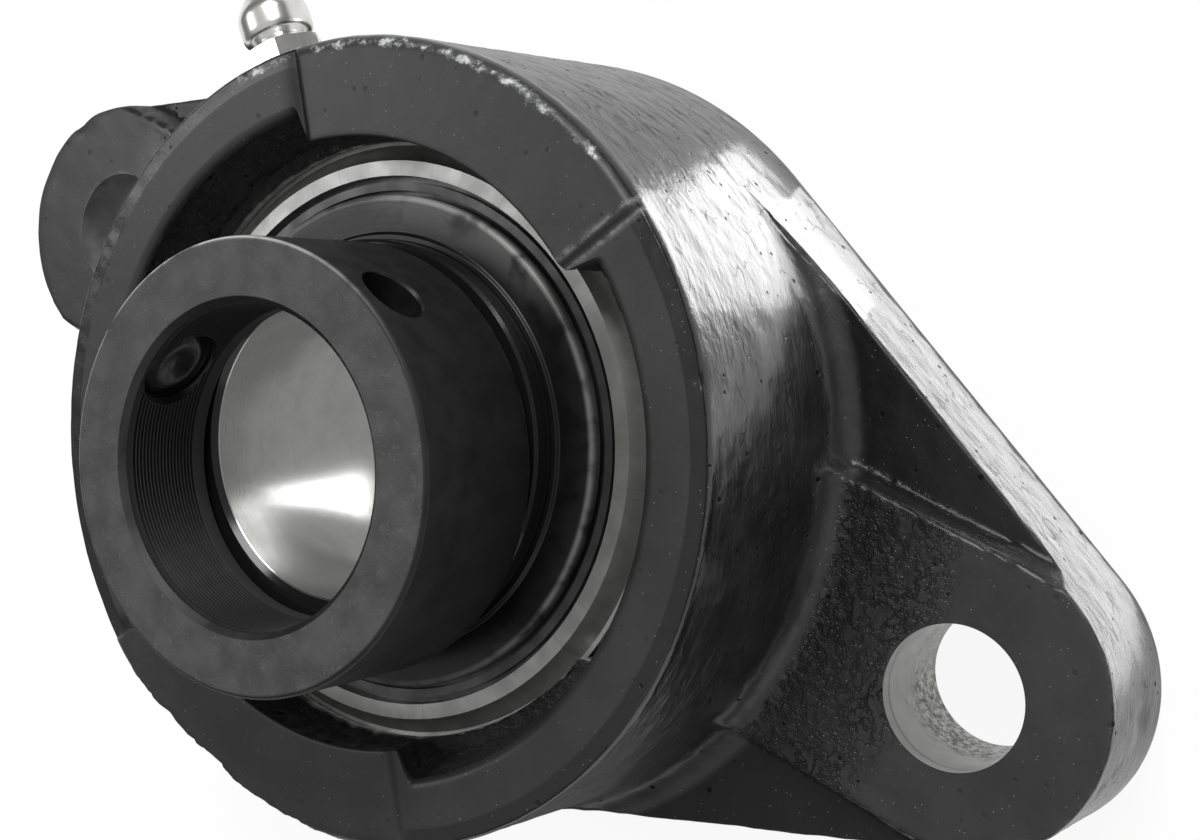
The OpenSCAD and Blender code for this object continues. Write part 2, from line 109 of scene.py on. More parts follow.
def turned(path, count):
    """Carries a path of radius and height round the axis: x = radius cos(turn), y = radius sin(turn)."""
    turn = np.linspace(0, 2 * np.pi, count, endpoint=False)[:, None]
    radius = path[..., 0] + 0 * turn
    return np.stack([radius * np.cos(turn), radius * np.sin(turn), path[..., 1] + 0 * turn], -1)


def rounded(corners, closed=True, steps=5):
    """A path whose corners, rows of radius, height and rounding, are arcs. Each arc runs between the points
    where a circle of the rounding touches the corner's two sides, with one more point past each end."""
    rows = np.array(corners, float)
    point, rounding = rows[:, :2], rows[:, 2].copy()
    back, ahead = np.roll(point, 1, 0) - point, np.roll(point, -1, 0) - point
    long_back = np.linalg.norm(back, axis=1, keepdims=True)
    long_ahead = np.linalg.norm(ahead, axis=1, keepdims=True)
    back, ahead = back / long_back, ahead / long_ahead
    half = np.arccos(np.clip((back * ahead).sum(1), -0.9999, 0.9999))[:, None] / 2
    reach = np.minimum(np.minimum(rounding[:, None] / np.tan(half), 0.45 * long_back), 0.45 * long_ahead)
    radius = reach * np.tan(half)
    middle = (back + ahead) / np.linalg.norm(back + ahead, axis=1, keepdims=True)
    centre = point + middle * radius / np.sin(half)
    start, end = point + back * reach - centre, point + ahead * reach - centre
    sweep = (np.pi - 2 * half)[:, :, None]
    share = np.linspace(0, 1, steps + 1)[None, :, None]
    arc = (np.sin((1 - share) * sweep) * start[:, None] + np.sin(share * sweep) * end[:, None]) / np.sin(sweep)
    extra = 0.25 * radius + 0.02
    arc = np.concatenate([(start + back * extra)[:, None], arc, (end + ahead * extra)[:, None]], 1)
    arc = arc + centre[:, None]
    path = arc.reshape(-1, 2) if closed else np.concatenate([point[:1], arc[1:-1].reshape(-1, 2), point[-1:]])
    apart = np.linalg.norm(path - np.roll(path, -1, 0), axis=1) > 1e-4
    if not closed:
        apart[-1] = True
    return path[apart]


def radial(grid, turn, distance, height, centre_y=0.0):
    """Lays a shape drawn along +Z along a radius: its axis points outwards in the direction of turn."""
    x, y, z = grid[..., 2] + distance, grid[..., 1], height - grid[..., 0]
    c, s = math.cos(math.radians(turn)), math.sin(math.radians(turn))
    return np.stack([c * x - s * y, s * x + c * y + centre_y, z], -1)


def soft(value):
    """The smooth step 3t^2 - 2t^3 between 0 and 1."""
    value = np.clip(value, 0, 1)
    return value * value * (3 - 2 * value)


def hump(value, width):
    """A bell curve: exp(-(value / width)^2)."""
    return np.exp(-(value / width) ** 2)


def lower_of(a, b, blend):
    """The lower of two heights, with a rounded change between them of the size blend."""
    share = np.clip(0.5 + 0.5 * (b - a) / blend, 0, 1)
    return b + (a - b) * share - blend * share * (1 - share)


def noise(points, seed):
    """Gradient noise: every corner of a unit lattice has a seeded random slope, and each point takes the
    eight corners' slopes weighted by the smooth fifth-power blend."""
    chance = np.random.default_rng(seed)
    order = np.tile(chance.permutation(256), 2)
    slopes = chance.normal(size=(256, 3))
    slopes /= np.linalg.norm(slopes, axis=1, keepdims=True)
    cell = np.floor(points).astype(int)
    part = points - cell
    blend = part ** 3 * (part * (part * 6 - 15) + 10)
    total = np.zeros(points.shape[:-1])
    for corner in np.ndindex(2, 2, 2):
        at = (cell + corner) & 255
        pick = order[order[order[at[..., 0]] + at[..., 1]] + at[..., 2]]
        weight = np.prod(np.where(corner, blend, 1 - blend), axis=-1)
        total += weight * (slopes[pick] * (part - corner)).sum(-1)
    return total


def outward(grid):
    """Unit normals of a grid that closes both ways, from the cross product of its two directions."""
    along = np.roll(grid, -1, 0) - np.roll(grid, 1, 0)
    across = np.roll(grid, -1, 1) - np.roll(grid, 1, 1)
    normal = np.cross(along, across)
    return normal / np.maximum(np.linalg.norm(normal, axis=-1, keepdims=True), 1e-9)


def cut(piece, cutters, crease=40):
    """Takes the cutters out of a piece, keeps the result as its mesh and marks its creases sharp."""
    for cutter in cutters:
        step = piece.modifiers.new("cut", "BOOLEAN")
        step.operation, step.solver, step.object = "DIFFERENCE", "EXACT", cutter
    bpy.context.view_layer.update()
    result = bpy.data.meshes.new_from_object(piece.evaluated_get(bpy.context.evaluated_depsgraph_get()))
    if len(result.polygons) < 0.5 * len(piece.data.polygons):
        raise RuntimeError("the cut took too much of " + piece.name)
    piece.modifiers.clear()
    piece.data = result
    for cutter in cutters:
        bpy.data.objects.remove(cutter)
    result.set_sharp_from_angle(angle=math.radians(crease))


# Shaders

class Flow:
    """A value in a shader: adding, multiplying and the like, with numbers or flows, adds a math node."""
    def __init__(self, socket):
        self.socket, self.tree = socket, socket.id_data

    def __add__(self, other):
        return calc("ADD", self, other)

    def __sub__(self, other):
        return calc("SUBTRACT", self, other)

    def __rsub__(self, other):
        return calc("SUBTRACT", other, self)

    def __mul__(self, other):
        return calc("MULTIPLY", self, other)

    def __rtruediv__(self, other):
        return calc("DIVIDE", other, self)

    def __abs__(self):
        return calc("ABSOLUTE", self)


class Outputs:
    """The outputs of a node as flows, by name or number."""
    def __init__(self, node):
        self.node = node

    def __getitem__(self, key):
        return Flow(self.node.outputs[key])


def add(tree, kind, values=None, **settings):
    """Adds a node. Settings are its properties, and values are its inputs: numbers, colours or flows."""
    made = tree.nodes.new(kind)
    for name, value in settings.items():
        setattr(made, name, value)
    for key, value in (values or {}).items():
        if isinstance(value, Flow):
            tree.links.new(value.socket, made.inputs[key])
        else:
            made.inputs[key].default_value = value
    return Outputs(made)


def feed(node, **flows):
    """Links flows to the inputs of a node that is already there."""
    for name, flow in flows.items():
        flow.tree.links.new(flow.socket, node.inputs[name.replace("_", " ")])


def calc(operation, *values):
    tree = next(value.tree for value in values if isinstance(value, Flow))
    return add(tree, "ShaderNodeMath", dict(enumerate(values)), operation=operation)[0]


def highest(first, *others):
    for other in others:
        first = calc("MAXIMUM", first, other)
    return first


def limited(flow):
    """Holds the result of a sum or product between 0 and 1."""
    flow.socket.node.use_clamp = True
    return flow


def scaled(vector, factors):
    values = {0: vector, 1: factors}
    return add(vector.tree, "ShaderNodeVectorMath", values, operation="MULTIPLY")[0]


def ramp(value, low, high, to_low=0.0, to_high=1.0):
    """The smooth step of a value between two limits."""
    values = {0: value, 1: low, 2: high, 3: to_low, 4: to_high}
    return add(value.tree, "ShaderNodeMapRange", values, interpolation_type="SMOOTHSTEP")[0]


def mix(share, a, b):
    return add(share.tree, "ShaderNodeMix", {0: share, 6: a, 7: b}, data_type="RGBA")[2]


def mask(tree, name):
    """One of the numbers that surface() keeps on a mesh."""
    return add(tree, "ShaderNodeAttribute", attribute_name=name)["Fac"]


def grain(vector, scale, detail=2.0, roughness=0.5, distortion=0.0):
    values = {"Vector": vector, "Scale": scale, "Detail": detail, "Roughness": roughness,
              "Distortion": distortion}
    return add(vector.tree, "ShaderNodeTexNoise", values)[0]


def streaks(value, scale, detail):
    """Noise along one number, for marks that follow a radius, an angle or a height."""
    values = {"W": value, "Scale": scale, "Detail": detail}
    return add(value.tree, "ShaderNodeTexNoise", values, noise_dimensions="1D")[0]


def cells(vector, scale, **settings):
    return add(vector.tree, "ShaderNodeTexVoronoi", {"Vector": vector, "Scale": scale}, **settings)


def grey(level):
    return (level, level, level, 1.0)


def shader_group(name, inputs, outputs, fill):
    """A node group with named sockets, built once. fill(tree, given) returns a flow for each output."""
    made = bpy.data.node_groups.get(name)
    if made is None:
        made = bpy.data.node_groups.new(name, "ShaderNodeTree")
        for socket, (kind, default) in inputs.items():
            item = made.interface.new_socket(name=socket, in_out="INPUT", socket_type="NodeSocket" + kind)
            item.default_value = default
        for socket, kind in outputs.items():
            made.interface.new_socket(name=socket, in_out="OUTPUT", socket_type="NodeSocket" + kind)
        results = fill(made, add(made, "NodeGroupInput"))
        add(made, "NodeGroupOutput", dict(zip(outputs, results)))
    return made


def place_of(tree, axis_y=0.0):
    """Where a point lies, in millimetres: its position, and its radius, angle and height about an axis
    parallel to Z at a given y."""
    def fill(tree, given):
        spot = add(tree, "ShaderNodeTexCoord")["Object"]
        position = add(tree, "ShaderNodeVectorMath", {0: spot, "Scale": 1000.0}, operation="SCALE")[0]
        parts = add(tree, "ShaderNodeSeparateXYZ", {0: position})
        y = parts[1] - given["Axis Y"]
        radius = calc("SQRT", y * y + parts[0] * parts[0])
        return position, radius, calc("ARCTAN2", y, parts[0]), parts[2]
    group = shader_group("Place", {"Axis Y": ("Float", 0.0)},
                         {"Position": "Vector", "Radius": "Float", "Angle": "Float", "Height": "Float"}, fill)
    return add(tree, "ShaderNodeGroup", {"Axis Y": axis_y}, node_tree=group)


def skin_of(position, **strengths):
    """Cast skin: streaks and soft swells round the casting, thin creases, pits and a fine grain, as a height
    in millimetres. Also a mask of the pits and creases and one of tiny bright specks."""
    def fill(tree, given):
        position = given["Position"]
        stretch = scaled(position, (0.5, 0.5, 1.0))
        ridge = abs(grain(stretch, 0.34, 2.5) - 0.5)
        sparse = ramp(grain(position, 0.22, 1.0), 0.46, 0.62)
        crease = ramp(ridge, 0.022, 0.0) * sparse * given["Creases"]
        swell = (grain(stretch, 0.6, 3.0, 0.6) - 0.5) * 1.1
        streak = (grain(scaled(position, (0.22, 0.22, 1.0)), 1.3, 1.0) - 0.5) * 0.28
        wrinkle = (swell + streak - crease * 0.35) * given["Wrinkles"]
        blotch = grain(position, 0.4, 1.0)
        depth = ramp(blotch, 0.45, 0.75) * 0.16 + 0.08
        pit = ramp(cells(position, 0.62)["Distance"], depth, depth * 0.4) * ramp(blotch, 0.46, 0.54)
        fine = (grain(position, 2.6, 3.0, 0.65) - 0.5) * given["Grain"]
        dots = cells(position, 1.9)
        rare = ramp(add(tree, "ShaderNodeSeparateColor", {0: dots["Color"]})[0], 0.80, 0.84)
        speck = ramp(dots["Distance"], 0.16, 0.07) * rare
        return wrinkle - pit * given["Pits"] + fine, highest(pit, crease), speck
    group = shader_group("Cast skin", {"Position": ("Vector", (0, 0, 0)), "Wrinkles": ("Float", 0.3),
                                       "Creases": ("Float", 0.5), "Pits": ("Float", 0.1),
                                       "Grain": ("Float", 0.03)},
                         {"Height": "Float", "Pit": "Float", "Speck": "Float"}, fill)
    return add(position.tree, "ShaderNodeGroup", {"Position": position, **strengths}, node_tree=group)


def marks_of(place, across, pitch, depth):
    """Tool marks: fine uneven lines across one number of a place, such as its radius or height, broken up by
    patches. A height in millimetres, a mask of the deeper lines, and a slow cloudiness."""
    def fill(tree, given):
        wide = streaks(given["Across"], 1.0 / given["Pitch"], 3.0)
        thin = streaks(given["Across"], 3.7 / given["Pitch"], 1.0)
        lines = wide * 0.65 + thin * 0.35
        return (lines - 0.5) * given["Depth"], ramp(lines, 0.58, 0.70), grain(given["Position"], 0.35, 3.0)
    group = shader_group("Tool marks", {"Position": ("Vector", (0, 0, 0)), "Across": ("Float", 0.0),
                                        "Pitch": ("Float", 0.4), "Depth": ("Float", 0.01)},
                         {"Height": "Float", "Lines": "Float", "Cloud": "Float"}, fill)
    values = {"Position": place["Position"], "Across": place[across], "Pitch": pitch, "Depth": depth}
    return add(place["Position"].tree, "ShaderNodeGroup", values, node_tree=group)


def finish(name, colour, roughness, metallic, **values):
    """A material with its Principled shader: uniform values stay on the shader's own sockets."""
    made = bpy.data.materials.new(name)
    made.use_nodes = True
    tree = made.node_tree
    shader = tree.nodes["Principled BSDF"]
    base = {"Base Color": tuple(colour)[:3] + (1.0,), "Roughness": roughness, "Metallic": metallic}
    for key, value in {**base, **values}.items():
        shader.inputs[key].default_value = value
    made.diffuse_color = base["Base Color"]
    return made, tree, shader


def relief(shader, height):
    """Feeds a height in millimetres to the shader's normal."""
    values = {"Height": height, "Distance": 0.001, "Strength": 1.0}
    feed(shader, Normal=add(height.tree, "ShaderNodeBump", values)[0])


def paint_finish(looks):
    """Black satin paint over cast iron. The masks on the mesh say where it is smooth, rough, chipped, or turned
    to bare metal, and where painted shade and painted highlights go into its colour."""
    made, tree, shader = finish("cast_paint", looks.paint, 0.4, 0.0, **{"Coat Roughness": 0.22})
    place = place_of(tree)
    spot = place["Position"]
    front, side, pocket, crackle, wear_and_highlight, bare, rim, shade, gleam = (mask(tree, name) for name in (
        "front", "side", "pocket", "crackle", "wear_and_highlight", "bare", "rim", "shade", "gleam"))
    quiet = 1.0 - front * 0.85
    skin = skin_of(spot, Wrinkles=side * 0.14 + quiet * 0.13, Creases=side * 0.5, Pits=quiet * 0.2,
                   Grain=pocket * 0.45 + quiet * 0.02 + 0.012)
    patch = grain(spot, 0.16, 4.0, 0.6)
    network = abs(grain(spot, 0.75, 3.0, 0.6) - 0.5)
    crevice = ramp(network, 0.08, 0.0) * crackle * ramp(patch, 0.35, 0.6, 0.3, 0.8)
    scales = (0.5 - cells(spot, 0.95, feature="SMOOTH_F1")["Distance"]) * crackle * 0.4
    painted = skin["Height"] + scales - crevice * 0.24
    turning = marks_of(place, "Radius", 0.5, 0.02)
    heights = {0: bare, 2: painted, 3: turning["Height"]}
    relief(shader, add(tree, "ShaderNodeMix", heights, data_type="FLOAT")[0])

    pitted = skin["Pit"] * quiet
    tone = mix(ramp(patch, 0.35, 0.68), grey(0.014), grey(0.030))
    tone = mix(front * 0.9, tone, mix(ramp(patch, 0.3, 0.7), grey(0.031), grey(0.044)))
    # Painted shade: the rounded rim, and a band beside the step lines on the left of the front face, darker
    tone = mix(rim, tone, grey(0.006))
    # Painted shade: darker in the pits, in the crevices of the crackle, and where the shade mask lies by the
    # boss, beside the pads and at the steps
    tone = mix(highest(pitted, crevice, shade * 0.7), tone, grey(0.005))
    tone = mix(pocket * ramp(grain(spot, 1.7, 3.0, 0.7), 0.55, 0.72), tone, grey(0.06))
    tone = mix(skin["Speck"] * 0.75, tone, (0.30, 0.30, 0.29, 1.0))
    # Pale flakes: chips of paint where the rim is broken, and painted highlights along the top rim and the
    # flange's edge
    flakes = grain(spot, 0.55, 5.0, 0.75)
    flake_and_highlight = flakes + wear_and_highlight * 0.34
    flake_and_highlight_colour = mix(ramp(flake_and_highlight, 0.84, 0.94), (0.34, 0.35, 0.35, 1.0), (0.72, 0.73, 0.73, 1.0))
    tone = mix(ramp(flake_and_highlight, 0.76, 0.96), tone, flake_and_highlight_colour)
    # Painted highlight on the step lines and along the flange's edge
    tone = mix(gleam * ramp(flakes, 0.35, 0.65), tone, grey(0.32))
    metal = mix(ramp(turning["Cloud"], 0.35, 0.7), (0.30, 0.30, 0.29, 1.0), (0.44, 0.44, 0.43, 1.0))
    rough = front * 0.10 + pocket * 0.30 + (patch - 0.5) * 0.25 - rim * 0.16 + 0.34
    dull = highest(pitted, crevice, shade * 0.6)
    gloss = 0.5 - highest(front, pocket, dull) * 0.42
    feed(shader, Base_Color=mix(bare, tone, metal), Roughness=limited(rough + skin["Pit"] * 0.2),
         Metallic=bare * 0.9, Specular_IOR_Level=0.5 - dull * 0.45, Coat_Weight=limited(gloss * (1.0 - bare)))
    return made


def bored_finish(looks):
    """Bare cast iron inside the drilled holes: rings across the height, rougher towards the back."""
    made, tree, shader = finish("bored_metal", looks.steel, 0.36, 1.0)
    place = place_of(tree)
    spot = place["Position"]
    marks = marks_of(place, "Height", 0.9, 0.05)
    crumbs = grain(spot, 1.5, 4.0, 0.75)
    y = add(tree, "ShaderNodeSeparateXYZ", {0: spot})[1]
    edge = grain(spot, 0.3, 2.0) * 8.0 + place["Height"]
    torn = ramp(edge, 12.5, 9.0) * ramp(y, -1.0, -3.5, 0.25, 1.0)
    relief(shader, torn * crumbs * 0.35 + marks["Height"])
    tone = mix(marks["Lines"], (0.30, 0.30, 0.295, 1.0), (0.13, 0.127, 0.12, 1.0))
    rough = mix(ramp(crumbs, 0.38, 0.62), (0.12, 0.115, 0.11, 1.0), (0.55, 0.55, 0.54, 1.0))
    feed(shader, Base_Color=mix(torn, tone, rough), Roughness=marks["Cloud"] * 0.3 + 0.2)
    return made


def ground_finish(looks, name, across, pitch, light, dark, roughness, depth=0.006, black_from=0.0):
    """Ground or polished steel with its marks along one direction: across the angle for radial grinding
    marks, or across the height or radius for turned ones. It is black outside the radius black_from."""
    made, tree, shader = finish(name, looks.steel, roughness, 1.0)
    place = place_of(tree)
    marks = marks_of(place, across, pitch, depth)
    relief(shader, marks["Height"])
    tone = mix(ramp(marks["Cloud"], 0.3, 0.7), light, dark)
    tone = mix(marks["Lines"] * 0.2, tone, grey(0.2))
    if black_from:
        black = ramp(place["Radius"], black_from, black_from + 0.08)
        tone = mix(black, tone, grey(0.012))
        feed(shader, Metallic=1.0 - black)
    feed(shader, Base_Color=tone, Roughness=marks["Cloud"] * 0.10 + (roughness - 0.05))
    return made


def oxide_finish(looks, name, roughness, dark, light, cloudy=0.2, axis_y=0.0, collar=False, edges=False):
    """Black oxide on turned steel: faint circles, and on the collar also swirled scratches on its greyer face,
    painted highlights on the crests of the grooves in its bore and painted shade between them. With edges,
    its masked edges are painted bright as painted highlights."""
    made, tree, shader = finish(name, looks.oxide, roughness, 0.0, **{"Specular IOR Level": 0.45})
    place = place_of(tree, axis_y)
    marks = marks_of(place, "Radius", 0.55, 0.010)
    height, cloud = marks["Height"], ramp(marks["Cloud"], 0.3, 0.7)
    tone = mix(cloud, grey(dark), grey(light))
    if collar:
        face, bore = mask(tree, "face"), mask(tree, "bore")
        scratch = face * ramp(abs(grain(place["Position"], 0.3, 6.0, distortion=3.0) - 0.5), 0.02, 0.0)
        height = height - scratch * 0.02
        tone = mix(face, tone, mix(cloud, grey(0.058), grey(0.094)))
        # Painted highlight and shade in the bore: the crests of its grooves lighter, the grooves between them
        # nearly black
        crest = ramp(place["Radius"], 15.24, 15.16)
        tone = mix(bore, tone, mix(crest, grey(0.003), grey(0.05)))
        tone = mix(scratch * 0.5, tone, grey(0.17))
        feed(shader, Specular_IOR_Level=0.45 - bore * 0.3)
    relief(shader, height)
    # Painted highlights: the edges in the mask are painted near white
    if edges:
        tone = mix(mask(tree, "wear_and_highlight") * ramp(marks["Cloud"], 0.25, 0.55), tone, (0.72, 0.72, 0.71, 1.0))
    feed(shader, Base_Color=tone, Roughness=marks["Cloud"] * cloudy + (roughness - cloudy / 2))
    return made


def rubber_finish():
    """Black rubber with grey dust in patches."""
    made, tree, shader = finish("seal_rubber", (0.02, 0.02, 0.02), 0.6, 0.0)
    dust = grain(place_of(tree)["Position"], 1.4, 4.0, 0.7)
    relief(shader, dust * 0.02)
    feed(shader, Base_Color=mix(ramp(dust, 0.5, 0.75), grey(0.014), grey(0.05)),
         Roughness=ramp(dust, 0.3, 0.7, 0.5, 0.75))
    return made


def zinc_finish(looks):
    """Bright zinc plate: nearly smooth, with soft brushed patches and a hint of dull spots."""
    made, tree, shader = finish("zinc", looks.zinc, 0.24, 1.0)
    marks = marks_of(place_of(tree), "Height", 0.25, 0.006)
    relief(shader, marks["Height"])
    tone = mix(ramp(marks["Cloud"], 0.35, 0.65), tuple(looks.zinc) + (1.0,), (0.84, 0.83, 0.80, 1.0))
    feed(shader, Base_Color=tone, Roughness=marks["Cloud"] * 0.22 + 0.12)
    return made


# Shapes

# Places on the unit, in millimetres and degrees
SEAT_HEIGHT, SEAT_RADIUS = 20.5, 31.05  # the ball-shaped seat of the insert
DRAFT, STEP_TURN = math.radians(2), math.radians(57)  # the casting's draft, and where its raised arcs end
PAD_HALF, PAD_END = 14.75, 14.9  # half the width of a pad, and its radius about the bolt hole
COLLAR_Y, COLLAR_OFF = -1.5, 0.75  # the collar hangs down, and its counterbore is off its axis
HOLE_HEIGHT, SCREW_TURN, DRIFT_TURN = 45.7, 167, 72  # the two holes of the collar
NIPPLE_PLACE = (135, 39.475, 26.5)  # turn, distance and height of the nipple's seat


def outline(turn, inset, size):
    """Radius of the flange's outline, drawn in by inset: the boss's circle, then the straight side that
    touches both circles, then the ear's circle about the bolt."""
    fold = np.arctan2(np.abs(np.sin(turn)), np.abs(np.cos(turn)))
    boss, ear = size.boss - inset, size.ear - inset
    lean = math.acos((size.boss - size.ear) / size.bolt)
    touch = np.arctan2(ear * math.sin(lean), size.bolt + ear * math.cos(lean))
    side = boss / np.cos(np.minimum(fold, lean) - lean)
    end = size.bolt * np.cos(fold) + np.sqrt(np.maximum(ear ** 2 - (size.bolt * np.sin(fold)) ** 2, 0))
    return np.where(fold >= lean, boss, np.where(fold >= touch, side, end))


def housing_turns(count, size):
    """Directions round the housing, closer together where the outline is long or steps, by inverting the
    running total of that density."""
    fine = np.linspace(0, 2 * np.pi, 7201)
    edge = outline(fine, 0.0, size)
    pace = np.hypot(np.gradient(edge * np.cos(fine)), np.gradient(edge * np.sin(fine))) / (fine[1] - fine[0])
    fold = np.degrees(np.arctan2(np.abs(np.sin(fine)), np.abs(np.cos(fine))))
    density = 0.5 * pace + 22 + 45 * hump(fold - 57.3, 1.6) + 22 * hump(fold - 64.4, 2.5)
    total = np.concatenate([[0], np.cumsum(density[:-1])])
    return np.interp(np.linspace(0, total[-1], count, endpoint=False), total, fine)


class Casting:
    """The skin of the casting as one closed grid. For each direction a closed path runs over the back face,
    up the drafted side, over the flange and its fillet, up the boss, round the rim, across the front face,
    down the pocket and the ball-shaped seat, and out through the back bore."""
    def __init__(self, size):
        self.size, self.turn = size, housing_turns(560, size)[:, None]
        self.cos, self.sin = np.cos(self.turn), np.sin(self.turn)
        self.fold = np.arctan2(np.abs(self.sin), np.abs(self.cos))
        self.lean = math.acos((size.boss - size.ear) / size.bolt)

    def beside(self, r):
        """How far a point lies beside the pad, and less than zero on it."""
        away = np.hypot(np.abs(r * self.cos) - self.size.bolt, r * self.sin)
        return np.minimum(np.abs(r * self.sin) - PAD_HALF, away - PAD_END)

    def flange_top(self, r):
        """Height of the flange: the web, the pad and the low strip at the pad's foot."""
        size, off = self.size, self.beside(r)
        rise = soft((0.65 - off) / 1.3)
        strip = soft((size.bolt + 4 - np.abs(r * self.cos)) / 4)
        return size.web + (size.pad - size.web) * rise + strip * 0.06 * hump(off + 0.9, 0.5)

    def front_top(self, r):
        """Height of the front face with its two raised arcs."""
        return self.size.front + self.size.rise * soft(r * np.sin(self.fold - STEP_TURN) + 0.1)

    def outer_path(self):
        """Side, edge, flange, fillet and boss: first a fine path, then fixed numbers of stations on each,
        spread out where a section shrinks away and evenly where the boss has no flange."""
        size, t, slope = self.size, self.turn, math.tan(DRAFT)

        def fill(gap):
            return size.root - np.sqrt(size.root ** 2 - np.clip(size.root - gap, 0, size.root) ** 2)

        foot_z = self.flange_top(40.4 + 0 * t)
        wall = size.boss - slope * (foot_z + size.root)
        edge_top = self.flange_top(outline(t, slope * 12, size))
        edge_z = edge_top
        for _ in range(8):
            shelf = np.maximum(outline(t, slope * edge_z, size) - wall, 0)
            edge_z = edge_top + fill(shelf)
        edge = 0.5 * np.clip(shelf, 0, 1)

        share = np.linspace(0, 1, 60)[None]
        side_z = 0.4 + share * (edge_z - edge - 0.4)
        side_r = outline(t, slope * side_z, size)
        bend = np.linspace(0, np.pi / 2, 12)[None, 1:]
        bend_r = side_r[:, -1:] - edge + edge * np.cos(bend)
        bend_z = edge_z - edge + edge * np.sin(bend)
        share = np.linspace(0, 1, 170)[None, 1:]
        top_r = wall + (bend_r[:, -1:] - wall) * (1 - share) ** 2
        top_z = self.flange_top(top_r) + fill(top_r - wall)
        share = np.linspace(0, 1, 60)[None, 1:]
        boss_z = foot_z + size.root + share * (size.front + size.rise - size.rim - foot_z - size.root)
        path_r = np.concatenate([side_r, bend_r, top_r, size.boss - slope * boss_z], 1)
        path_z = np.concatenate([side_z, bend_z, top_z, boss_z], 1)
        strides = [np.diff(part, prepend=part[:, :1]) for part in (path_r, path_z)]
        length = np.cumsum(np.hypot(*strides), 1)

        counts = np.array([15, 4, 24, 11, 20])
        reach = np.maximum(bend_r[:, -1:] - wall, size.root)
        start_fill = np.clip((1 - np.sqrt(size.root / reach)) * 169, 0, 168)
        breaks = np.concatenate([length[:, :1], length[:, 59:60], length[:, 70:71],
                                 np.take_along_axis(length, 70 + start_fill.astype(int), 1),
                                 length[:, 239:240], length[:, -1:]], 1)
        middle, half = (breaks[:, 1] + breaks[:, 4]) / 2, (breaks[:, 4] - breaks[:, 1]) / 2
        room = np.maximum(half, 4.0)
        full = np.clip(half / 4.0, 0, 1)
        inner = (breaks[:, 2:4] - breaks[:, 1:2]) / np.maximum(2 * half, 1e-6)[:, None]
        inner = full[:, None] * inner + (1 - full[:, None]) * np.array([[4 / 39, 28 / 39]])
        breaks[:, 1], breaks[:, 4] = middle - room, middle + room
        breaks[:, 2:4] = breaks[:, 1:2] + inner * (2 * room)[:, None]
        even = breaks[:, -1:] * np.concatenate([[0], np.cumsum(counts)])[None] / counts.sum()
        past = soft((self.fold - self.lean) / math.radians(10))
        breaks = (1 - past) * breaks + past * even
        section = np.repeat(np.arange(5), counts)
        within = np.concatenate([np.arange(n) / n for n in counts])
        at = breaks[:, section] + (breaks[:, section + 1] - breaks[:, section]) * within
        row = 1000.0 * np.arange(len(t))[:, None]
        flat = (length + row).ravel()
        outer_r = np.interp((at + row).ravel(), flat, path_r.ravel()).reshape(at.shape)
        outer_z = np.interp((at + row).ravel(), flat, path_z.ravel()).reshape(at.shape)
        return outer_r, outer_z

    def inner_path(self):
        """Rim, front face, mouth, pocket, ledge, seat and back bore, each with the name of its zone."""
        size, t, fold, slope = self.size, self.turn, self.fold, math.tan(DRAFT)
        rim_z0 = size.front + size.rise - size.rim
        rim_x = size.boss - rim_z0 * slope - size.rim / math.cos(DRAFT)
        bend = np.linspace(0, np.pi / 2, 15)[None]
        rim_r = rim_x + size.rim * np.cos(bend) + 0 * t
        rim_z = lower_of(rim_z0 + size.rim * np.sin(bend), self.front_top(rim_r), 0.3)
        pocket = 1 - soft((np.degrees(fold) - 54.8) / 2.2)
        mouth = size.throat + 3.1 * pocket
        round_in = 0.30 + 0.75 * pocket
        face_r = rim_x + (mouth + round_in - rim_x) * np.linspace(0, 1, 21)[None, 1:]
        face_z = lower_of(rim_z0 + size.rim + 0 * face_r, self.front_top(face_r), 0.3)
        top = face_z[:, -1:]
        bend = np.radians([22, 45, 68])[None]
        lip_r = mouth + round_in * (1 - np.sin(bend))
        lip_z = top - round_in * (1 - np.cos(bend))
        slot = soft((9.6 - np.abs(30.5 * self.sin)) / 0.7)
        ledge_r0, ledge_z0 = size.throat + 1.4 * pocket, 29.3 + 1.4 * (1 - pocket)
        share = np.linspace(0, 1, 13)[None]
        wall_r = mouth + (ledge_r0 - mouth) * share
        wall_z = (top - round_in) + (ledge_z0 - top + round_in) * share
        ledge = np.linspace(0, 1, 6)[None, 1:]
        ledge_r = ledge_r0 + (size.throat + 1.41 * slot - ledge_r0) * ledge
        ledge_z = ledge_z0 + (29.3 - ledge_z0) * ledge
        seat_z = np.array([28.9, 27.5, 26, 24, 22, 20.62, 20.38, 18, 15, 12, 9.5, 8.2])[None] + 0 * t
        seat_r = np.sqrt(SEAT_RADIUS ** 2 - (seat_z - SEAT_HEIGHT) ** 2)
        seat_r = np.where(seat_z > SEAT_HEIGHT, seat_r + (31.3 - seat_r) * slot, seat_r)
        bore_z = np.array([8.0, 4.0, 0.6])[None] + 0 * t
        bore_r = 28.5 + 0 * bore_z
        return [("rim", rim_r, rim_z), ("front", face_r, face_z), ("front", lip_r, lip_z),
                ("pocket", wall_r, wall_z), ("pocket", ledge_r, ledge_z), ("bare", seat_r, seat_z),
                ("bare", bore_r, bore_z)]

